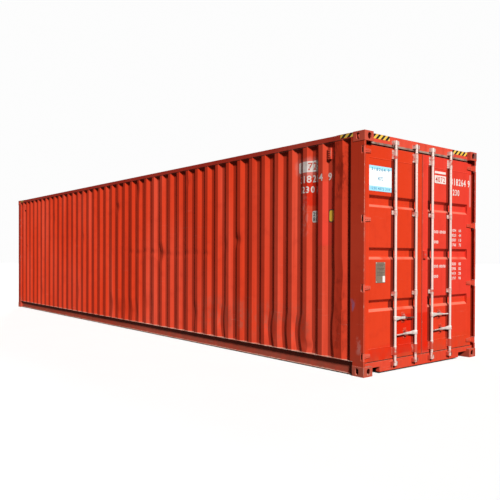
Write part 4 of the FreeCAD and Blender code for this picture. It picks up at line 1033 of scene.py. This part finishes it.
def frame_welds():
    """Beads where posts, header and sill meet the fittings."""
    shape = Shape()
    random.seed(5)
    for name, way in (("corner_fittings_bottom", 1), ("corner_fittings_top", -1)):
        for low, high in solids(name):
            sign_x, sign_y = math.copysign(1, low.x), math.copysign(1, low.y)
            z = high.z if way > 0 else low.z
            out_x, out_y = sign_x * (cad_high.x - WELD_INSET), sign_y * (cad_high.y - WELD_INSET)
            corner = place(out_x, out_y, z)
            inner_end = place(corner.x, sign_y * WELD_END_Y, z)
            inner_side = place(sign_x * WELD_END_X, corner.y, z)
            for start, end in ((inner_end, corner), (corner, inner_side)):
                for k in range(WELD_SPOTS):
                    spot = start.lerp(end, (k + 0.5) / WELD_SPOTS) - place(sign_x, sign_y, 0) * 0.002
                    size = WELD_SIZE + WELD_VARIES * random.random()
                    shape.turned(spot, UP * way,
                                 [(size, -0.0005), (size * 0.8, size * 0.5), (size * 0.3, size * 0.8)], 7)
    shape.finish("frame_welds", "frame", "red_paint", frame_paint)


LOUVRES, LOUVRE_PITCH, LOUVRE_HALF, RIVET = 4, 0.026, 0.019, 0.0028


def ventilator_louvres():
    """Hooded slots and four rivets on each ventilator cover."""
    shape = Shape()
    for low, high in solids("ventilators"):
        side = math.copysign(1, low.y)
        face = high.y if side > 0 else low.y
        skin_y = face - side * 0.002
        middle = (low.x + high.x) / 2
        for k in range(LOUVRES):
            z = low.z + LOUVRE_PITCH + LOUVRE_PITCH * k
            hood = []
            for x in spread(middle - LOUVRE_HALF, middle + LOUVRE_HALF, 6):
                bulge = 0.0018 + 0.006 * math.sqrt(max(0.0, 1 - ((x - middle) / LOUVRE_HALF) ** 2))
                hood.append([(x, skin_y, z + 0.012), (x, skin_y + side * bulge, z + 0.004),
                             (x, skin_y + side * bulge, z + 0.001), (x, skin_y, z + 0.002)])
            shape.loft(hood)
        for x in (low.x + 0.007, high.x - 0.007):
            for z in (low.z + 0.01, high.z - 0.01):
                shape.bolt((x, face, z), (0, side, 0), RIVET)
    shape.finish("ventilator_louvres", "frame", "red_paint", wall_paint)


SCREW = [(0.0062, 0.0), (0.0062, 0.0015), (0.005, 0.0019), (0.002, 0.0014)]
SCREWS_FROM, SCREWS_TO_EDGE, SCREWS_SUNK, SCREWS_FRONT = 0.075, 0.04, 0.001, 0.05


def floor_screws():
    """Screw heads over each cross member, standing just clear of the boards."""
    shape = Shape()
    rows = sorted({round((low.x + high.x) / 2, 4) for low, high in solids("cross_members")})
    spacing = rows[1] - rows[0]
    x = rows[0] - spacing
    while x > floor_low.x + SCREWS_FRONT:
        rows.insert(0, x)
        x -= spacing
    for x in rows:
        for y in spread(SCREWS_FROM, floor_high.y - SCREWS_TO_EDGE, 6):
            for side in (-1, 1):
                shape.turned((x, side * y, floor_high.z - SCREWS_SUNK), UP, SCREW, 8)
    shape.finish("floor_screws", "frame", "bare_steel", bare_steel)


def data_plate_details():
    """Rivets at the plate's corners, a small white tag near its lower corner and rows of wear."""
    low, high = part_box("data_plate")
    shape = Shape()
    for y in (low.y + 0.01, high.y - 0.01):
        for z in (low.z + 0.01, high.z - 0.01):
            shape.bolt((high.x, y, z), ALONG, 0.0042)
    shape.bar((high.x - 0.0005, high.y - 0.05, low.z + 0.006),
              (high.x + 0.0012, high.y - 0.006, low.z + 0.082), 0.0004, 1)
    for k in range(9):
        z = high.z - 0.026 - 0.017 * k
        shape.bar((high.x - 0.0004, low.y + 0.02, z),
                  (high.x + 0.0005, high.y - 0.02 - 0.013 * (k % 3), z + 0.006), 0.0002, 2)
    shape.finish("data_plate_details", "door_left", "plate_metal", handle_zinc, white_film, rail_zinc)


for side in SIGNS:
    door_fastenings(side)
    pin_caps(side)
    panel_beads(side)
seal_box()
wall_beads()
frame_welds()
ventilator_louvres()
floor_screws()
data_plate_details()


# ---------------------------------------------------------------- handles and locking gear
def ring_of(centre, half_x, half_z, power, sides=16):
    """A rounded section in the plane across Y: power 2 is an ellipse, larger is squarer."""
    def squared(value):
        return math.copysign(abs(value) ** (2 / power), value)

    angles = [math.tau * k / sides for k in range(sides)]
    return [(centre.x + half_x * squared(math.cos(angle)), centre.y,
             centre.z + half_z * squared(math.sin(angle))) for angle in angles]


# share of the reach, half thickness, half height, droop, squareness
HANDLE_SECTIONS = [
    (0.045, 0.012, 0.0275, 0.0, 3.6), (0.075, 0.011, 0.027, 0.0, 3.6), (0.14, 0.0095, 0.0245, 0.0, 3.6),
    (0.24, 0.0075, 0.0185, 0.0, 3.6), (0.32, 0.0055, 0.0155, 0.0, 3.6), (0.44, 0.005, 0.0155, 0.0, 3.6),
    (0.52, 0.0052, 0.0155, 0.001, 3.4), (0.6, 0.006, 0.013, 0.003, 3.0),
    (0.67, 0.008, 0.01, 0.005, 2.4), (0.76, 0.0088, 0.0092, 0.007, 2.0),
    (0.9, 0.0088, 0.009, 0.009, 2.0), (0.965, 0.0086, 0.0088, 0.009, 2.0),
    (0.99, 0.0066, 0.0066, 0.009, 2.0), (1.0, 0.003, 0.003, 0.009, 2.0),
]
GRIP_FROM = 0.55
GRIPS = {"left_outer": dark_grip, "left_inner": grip_zinc, "right_inner": handle_zinc,
         "right_outer": grip_zinc}
ROD_RADIUS = 0.0171         # rings sit just off the rod's own face


def rod_axis(gear):
    """Where a rod's axis stands."""
    return next(joint["pos_m"][:2] for joint in frame["joints"] if joint["child"] == "rod_" + gear)


def handle(gear):
    """A hub clamped on the rod, a flat bar and a round grip at its end."""
    axis_x, axis_y = rod_axis(gear)
    low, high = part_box("handle_" + gear)
    side = 1 if high.y - axis_y > axis_y - low.y else -1
    reach = max(high.y - axis_y, axis_y - low.y)
    z = (low.z + high.z) / 2
    hub = high.x - axis_x
    half = (high.z - low.z) / 2
    shape = Shape()
    rings = [ring_of(place(axis_x, axis_y + side * reach * share, z - droop), thick, tall, power)
             for share, thick, tall, droop, power in HANDLE_SECTIONS]
    first_grip = next(k for k, row in enumerate(HANDLE_SECTIONS) if row[0] > GRIP_FROM)
    shape.loft(rings[:first_grip])
    shape.loft(rings[first_grip - 1:], 1)
    shape.turned((axis_x, axis_y, z), UP, [(0.0172, -half), (hub - 0.002, -half), (hub, -half + 0.003),
                                           (hub, half - 0.003), (hub - 0.002, half), (0.0172, half)], 24)
    for way in (-1, 1):
        shape.turned((axis_x, axis_y - side * 0.015, z + way * half * 0.5), ALONG,
                     [(0.005, 0.008), (0.005, 0.0185), (0.003, 0.02)], 8)
    made = shape.finish("handle_bar_" + gear, "rod_" + gear, "galvanised_steel", handle_zinc, GRIPS[gear])
    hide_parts("handle_" + gear)


COLLAR = [(ROD_RADIUS, 0.0), (0.02, 0.0), (0.0208, 0.001), (0.0208, 0.008), (0.0195, 0.01),
          (ROD_RADIUS, 0.0112)]


def rod_collars(gear):
    """Rings welded to a rod just above and below its guides, which keep it at its height."""
    axis_x, axis_y = rod_axis(gear)
    shape = Shape()
    for low, high in solids("rod_brackets_" + gear.split("_")[0]):
        if low.y < axis_y < high.y:
            for z, way in ((low.z - 0.003, -1), (high.z + 0.003, 1)):
                shape.turned((axis_x, axis_y, z), UP * way, COLLAR, 20)
    shape.finish("rod_collars_" + gear, "rod_" + gear, "galvanised_steel", rod_zinc)


# section of a hasp: X from its foot, and the rise of its lower and upper edge
HASP = [(0.0, 0.02), (0.008, 0.03), (0.02, 0.032), (0.024, 0.026)]


def catch_hasps(side):
    """A tab over each catch, where the handle is sealed, with a short hinge barrel."""
    shape = Shape()
    foot = DOOR_FACE + CATCH_PLATE
    for low, high in solids("handle_catches_" + side):
        middle, top = (low.y + high.y) / 2, high.z
        left, right = middle - 0.0035, middle + 0.0035
        plate = []
        for reach, rise in HASP:
            x, under, over = foot + reach, top - 0.066 + rise * 0.5, top - 0.052 + rise
            plate.append([(x, left, under), (x, right, under), (x, right, over), (x, left, over)])
        shape.loft(plate)
        shape.turned((foot + 0.006, middle - 0.016, top - 0.028), (0, 1, 0),
                     [(0.003, 0.0), (0.0045, 0.001), (0.0045, 0.031), (0.003, 0.032)], 10)
    shape.finish("catch_hasps_" + side, "door_" + side, "worn_fittings", fitting_zinc)


for gear in GEAR:
    handle(gear)
    rod_collars(gear)
for side in SIGNS:
    catch_hasps(side)


# ---------------------------------------------------------------- markings
PROUD, FILM = 0.0006, 0.0004


def digits(text):
    """Plain digits as a flat mesh, fitted to a unit box."""
    curve = bpy.data.curves.new("digits", "FONT")
    curve.body = text
    curve.offset = 0.022
    curve.space_character = 1.22
    curve.resolution_u = 4
    carrier = bpy.data.objects.new("digits", curve)
    link(carrier)
    bpy.context.view_layer.update()
    mesh = bpy.data.meshes.new_from_object(carrier)
    bpy.data.objects.remove(carrier)
    bpy.data.curves.remove(curve)
    work = bmesh.new()
    work.from_mesh(mesh)
    bpy.data.meshes.remove(mesh)
    lows = [min(vert.co[k] for vert in work.verts) for k in (0, 1)]
    highs = [max(vert.co[k] for vert in work.verts) for k in (0, 1)]
    for vert in work.verts:
        vert.co = Vector(((vert.co.x - lows[0]) / (highs[0] - lows[0]),
                          (vert.co.y - lows[1]) / (highs[1] - lows[1]), 0))
    return work


def outline(corners):
    """A flat face from (u, v) corners in the unit box."""
    work = bmesh.new()
    work.faces.new([work.verts.new((u, v, 0)) for u, v in corners])
    return work


def flat(shown):
    """A flat mesh of digits or of an outline."""
    return digits(shown) if isinstance(shown, str) else outline(shown)


UNIT = [(0, 0), (1, 0), (1, 1), (0, 1)]
ROUND_STEPS = 4


def soft_corners(radius_u, radius_v):
    """A unit box with round corners."""
    corners = []
    for cu, cv, first in ((1 - radius_u, 1 - radius_v, 0), (radius_u, 1 - radius_v, 1),
                          (radius_u, radius_v, 2), (1 - radius_u, radius_v, 3)):
        for k in range(ROUND_STEPS + 1):
            angle = (first + k / ROUND_STEPS) * math.pi / 2
            corners.append((cu + radius_u * math.cos(angle), cv + radius_v * math.sin(angle)))
    return corners


class Markings:
    """Thin paint or film laid on one surface. lay turns (u, v) in metres into a point on it."""
    ROWS = 0.05         # how far apart it is cut where it has to follow dents

    def __init__(self, lay, folds=()):
        self.lay = lay
        self.folds = sorted(folds)
        self.work = bmesh.new()
        self.materials = []

    def put(self, shown, lows, highs, material):
        """Lay a unit outline over the box from lows to highs."""
        for vert in shown.verts:
            vert.co = Vector((lows[0] + vert.co.x * (highs[0] - lows[0]),
                              lows[1] + vert.co.y * (highs[1] - lows[1]), 0))
        left, right = sorted((lows[0], highs[0]))
        cuts = [((u, 0, 0), (1, 0, 0)) for u in self.folds if left < u < right]
        if self.folds:
            count = int((highs[1] - lows[1]) / self.ROWS)
            cuts += [((0, lows[1] + self.ROWS * (k + 1), 0), (0, 1, 0)) for k in range(count)]
        for place, across in cuts:
            bmesh.ops.bisect_plane(shown, geom=shown.verts[:] + shown.edges[:] + shown.faces[:],
                                   plane_co=place, plane_no=across, dist=1e-6)
        if material not in self.materials:
            self.materials.append(material)
        kind = self.materials.index(material)
        made = {vert: self.work.verts.new(self.lay(vert.co.x, vert.co.y)) for vert in shown.verts}
        for face in shown.faces:
            self.work.faces.new([made[vert] for vert in face.verts]).material_index = kind
        shown.free()

    def finish(self, name, body, slot, outwards):
        """outwards tells which way the faces have to look."""
        for face in self.work.faces:
            face.normal_update()
            if face.normal.dot(outwards) < 0:
                face.normal_flip()
        mesh = bpy.data.meshes.new(name)
        self.work.to_mesh(mesh)
        self.work.free()
        thing = settle(name, mesh, body, self.materials)
        mesh.shade_flat()
        film = thing.modifiers.new("film", "SOLIDIFY")
        film.thickness = FILM
        film.offset = -1.0


def on_wall(folds, layout, push, outwards):
    """(u, v) on a corrugated wall, just proud of it.

    folds are (u, depth) of its corners, and layout turns u, depth and v into a point.
    """
    folds = sorted(tuple(fold) for fold in folds)

    def lay(u, v):
        above = next((k for k, (start, _) in enumerate(folds) if start >= u), len(folds) - 1)
        (u0, depth0), (u1, depth1) = folds[max(above - 1, 0)], folds[above]
        share = 0 if u1 == u0 else (u - u0) / (u1 - u0)
        point = layout(u, depth0 + (depth1 - depth0) * share, v)
        return point + push(point) + outwards * PROUD
    return lay


def on_face(outwards, level):
    """(u, v) on a flat face across X or Y, just proud of it."""
    if outwards.x:
        return lambda u, v: place(level + outwards.x * PROUD, u, v)
    return lambda u, v: place(u, level + outwards.y * PROUD, v)


# marks of a side wall: outline, reach and height of two corners, material; then those over the squares
PLAIN = soft_corners(0.2, 0.2)
SIDE_MARKS = [
    (soft_corners(0.06, 0.14), 0.0, 2.5, 0.355, 2.64, white_wall),
    ("4072", 0.03, 2.52, 0.32, 2.62, red_digits),
    ("318264 9", 0.03, 2.362, 0.58, 2.458, white_wall),
    ("1230", 0.04, 2.232, 0.28, 2.318, white_wall),
    (PLAIN, 0.245, 1.85, 0.358, 1.998, grey_film),
    (PLAIN, 0.535, 1.84, 0.642, 2.002, dark_film),
]
OVER_SQUARES = [
    (PLAIN, 0.543, 1.853, 0.634, 1.989, yellow_film),
    ("29", 0.26, 1.93, 0.343, 1.982, dark_film),
    ("86", 0.26, 1.866, 0.343, 1.918, dark_film),
]


def side_markings(side, push, name):
    """The box's number and two plain squares near the door end of a side wall."""
    outwards = place(0, side, 0)
    lay = on_wall(wall_profile, lambda u, depth, v: place(u, -side * depth, v), push, outwards)
    start = 4.96 if side < 0 else 5.315
    for piece, lift, marks in ((name, 0.0, SIDE_MARKS), (name + "_patch", FILM, OVER_SQUARES)):
        made = Markings(lambda u, v, lift=lift: lay(u, v) + outwards * lift, [u for u, _ in wall_profile])
        for shown, near, low, far, high, material in marks:
            made.put(flat(shown), (start - side * near, low), (start - side * far, high), material)
        made.finish(piece, "frame", "red_paint", outwards)


def left_door_markings():
    """A poster with a printed number."""
    made = Markings(on_face(ALONG, DOOR_FACE))
    made.put(outline(UNIT), POSTER_LOW.yz, POSTER_HIGH.yz, poster_film)
    made.finish("left_door_poster", "door_left", "door_paint", ALONG)
    printed = Markings(on_face(ALONG, DOOR_FACE + FILM))
    wide, tall = POSTER_HIGH.y - POSTER_LOW.y, POSTER_HIGH.z - POSTER_LOW.z
    for number, left, right, low, high in (("318264 9", 0.1, 0.9, 0.8, 0.93),
                                           ("4072", 0.38, 0.62, 0.42, 0.58),
                                           ("1230 4072 318", 0.08, 0.92, 0.05, 0.16)):
        printed.put(digits(number), (POSTER_LOW.y + left * wide, POSTER_LOW.z + low * tall),
                    (POSTER_LOW.y + right * wide, POSTER_LOW.z + high * tall), blue_print)
    printed.finish("left_door_poster_print", "door_left", "door_paint", ALONG)


def right_door_markings():
    """The same number, and four blocks of small figures."""
    made = Markings(on_face(ALONG, DOOR_FACE))

    def put(shown, left, low, right, high):
        made.put(flat(shown), (left, low), (right, high), white_door)

    put(soft_corners(0.05, 0.08), 0.27, 2.4, 0.535, 2.505)
    put(UNIT, 0.275, 2.53, 0.53, 2.56)
    put("318264 9", 0.655, 2.4, 1.13, 2.498)
    put("1230", 0.66, 2.262, 0.865, 2.345)
    random.seed(23)
    for block in (1.56, 1.1):
        for row in range(4):
            z = block + 0.2 - 0.066 * row
            put("".join(random.choice("0123456789") for _ in range(5)), 0.662, z, 0.79, z + 0.04)
            put("%02d" % random.randrange(10, 99), 0.86, z, 0.915, z + 0.04)
        for z, text in ((block + 0.17, "000 0000"), (block + 0.035, "000")):
            put(text, 0.262, z, 0.262 + 0.034 * len(text), z + 0.04)
    made.finish("right_door_markings", "door_right", "door_paint", ALONG)
    over = Markings(on_face(ALONG, DOOR_FACE + FILM))
    over.put(digits("4072"), (0.292, 2.414), (0.512, 2.49), red_digits)
    over.finish("right_door_prefix", "door_right", "door_paint", ALONG)


def front_markings():
    """The number once more on the front end, read from outside."""
    lay = on_wall([(y, x) for x, y in end_profile], lambda u, depth, v: place(depth, u, v), push_end, -ALONG)
    made = Markings(lay, [y for _, y in end_profile])
    for number, left, low, right, high in (("4072", -0.3, 2.4, -0.52, 2.5),
                                           ("318264 9", -0.56, 2.4, -1.00, 2.5),
                                           ("1230", -0.56, 2.262, -0.78, 2.345)):
        made.put(digits(number), (left, low), (right, high), white_wall)
    made.finish("front_markings", "frame", "red_paint", -ALONG)


# foot and head of the stripes on the header, the roof rails and the front end, and their reach
HEADER_BAND, RAIL_BAND, FRONT_BAND = (2.831, 2.887), (2.842, 2.888), (2.838, 2.886)
RAIL_STRIPES, STRIPES_OUTER, STRIPES_INNER = (5.715, 5.915), 1.05, 0.69
STRIPE_LEAN = 1.1


def hazard(name, outwards, level, start, end, band, count, first=0):
    """Leaning black and yellow bars over a strip from start to end."""
    made = Markings(on_face(outwards, level))
    low, high = band
    lean = STRIPE_LEAN * (high - low) / abs(end - start)
    for k in range(-1, count):
        left, right = k / count, (k + 1) / count
        bar = outline([(left, 0), (right, 0), (right + lean, 1), (left + lean, 1)])
        for edge, way in ((0, -1), (1, 1)):
            bmesh.ops.bisect_plane(bar, geom=bar.verts[:] + bar.edges[:] + bar.faces[:], dist=1e-6,
                                   plane_co=(edge, 0, 0), plane_no=(way, 0, 0), clear_outer=True)
        made.put(bar, (start, low), (end, high), (black_stripe, yellow_stripe)[(k + first) % 2])
    made.finish(name, "frame", "red_paint", outwards)


side_markings(-1, push_left, "left_markings")
side_markings(1, push_right, "right_markings")
left_door_markings()
right_door_markings()
header_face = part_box("door_header")[1].x
hazard("header_stripes_left", ALONG, header_face, -STRIPES_OUTER, -STRIPES_INNER, HEADER_BAND, 8)
hazard("header_stripes_right", ALONG, header_face, 0.68, STRIPES_OUTER, HEADER_BAND, 8, 1)
rail_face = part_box("top_side_rails")[1].y
for side, way in SIGNS.items():
    for sign, where in ((1, "rear"), (-1, "front")):
        start, end = (sign * reach for reach in RAIL_STRIPES)
        hazard("rail_stripes_%s_%s" % (side, where), place(0, way, 0), way * rail_face, start, end,
               RAIL_BAND, 4)
for side, way in SIGNS.items():
    hazard("front_stripes_" + side, -ALONG, end_low.x, way * STRIPES_OUTER, way * STRIPES_INNER,
           FRONT_BAND, 8)
front_markings()


# ---------------------------------------------------------------- floor, light and camera
def ground():
    mesh = bpy.data.meshes.new("studio_floor")
    reach = 90.0
    mesh.from_pydata([(-reach, -reach, 0), (reach, -reach, 0), (reach, reach, 0), (-reach, reach, 0)],
                     [], [(0, 1, 2, 3)])
    g = Graph("studio_floor")
    seen = g.make("ShaderNodeLightPath", {}).outputs["Is Camera Ray"]
    pale = g.blend((0.86, 0.9, 0.93), (0.84, 0.88, 0.91), g.noise(0.8))
    mesh.materials.append(g.finish(g.blend((0.05, 0.05, 0.05), pale, seen), 0.9))
    floor = bpy.data.objects.new("studio_floor", mesh)
    link(floor)


# strength, width in degrees, direction of the lamp, tint, and whether it shows in gloss: the back lamp
# only lifts the far sides
LAMPS = [
    ("key_lamp", 6.0, 8.0, (0.736, -0.335, 0.588), (1.0, 0.97, 0.93), True),
    ("back_lamp", 2.6, 30.0, (-0.78, 0.56, 0.28), (1.0, 0.98, 0.96), False),
]


def light():
    for name, strength, width, source, tint, glossy in LAMPS:
        lamp = bpy.data.lights.new(name, "SUN")
        lamp.energy = strength
        lamp.angle = math.radians(width)
        lamp.color = tint
        stand = bpy.data.objects.new(name, lamp)
        stand.rotation_mode = "QUATERNION"
        stand.rotation_quaternion = Vector(source).to_track_quat("Z", "Y")
        stand.visible_glossy = glossy
        link(stand)

    world = bpy.data.worlds.new("studio")
    world.use_nodes = True
    tree = world.node_tree
    soft = tree.nodes["Background"]
    soft.inputs["Color"].default_value = (0.86, 0.93, 1.0, 1.0)
    soft.inputs["Strength"].default_value = 0.055
    backdrop = tree.nodes.new("ShaderNodeBackground")
    backdrop.inputs["Color"].default_value = (1.0, 1.0, 1.0, 1.0)
    backdrop.inputs["Strength"].default_value = 0.98
    path = tree.nodes.new("ShaderNodeLightPath")
    mix = tree.nodes.new("ShaderNodeMixShader")
    tree.links.new(path.outputs["Is Camera Ray"], mix.inputs[0])
    tree.links.new(soft.outputs[0], mix.inputs[1])
    tree.links.new(backdrop.outputs[0], mix.inputs[2])
    tree.links.new(mix.outputs[0], tree.nodes["World Output"].inputs["Surface"])
    bpy.context.scene.world = world
    bpy.context.scene.view_settings.view_transform = "Standard"


EYE, LOOK, ROLL, LENS = (10.624, -6.61, 1.425), place(-0.772, 0.636, -0.008), -0.22, 42.81


def camera():
    """The viewpoint stands off the door end's left corner at eye height."""
    data = bpy.data.cameras.new("view")
    data.lens = LENS
    data.sensor_width = 36.0
    data.shift_x = -0.008
    data.shift_y = 0.0205
    data.clip_end = 400.0
    eye = bpy.data.objects.new("view", data)
    eye.location = EYE
    eye.rotation_mode = "QUATERNION"
    eye.rotation_quaternion = Quaternion(LOOK, math.radians(ROLL)) @ LOOK.to_track_quat("-Z", "Y")
    link(eye)
    bpy.context.scene.camera = eye


ground()
light()
camera()
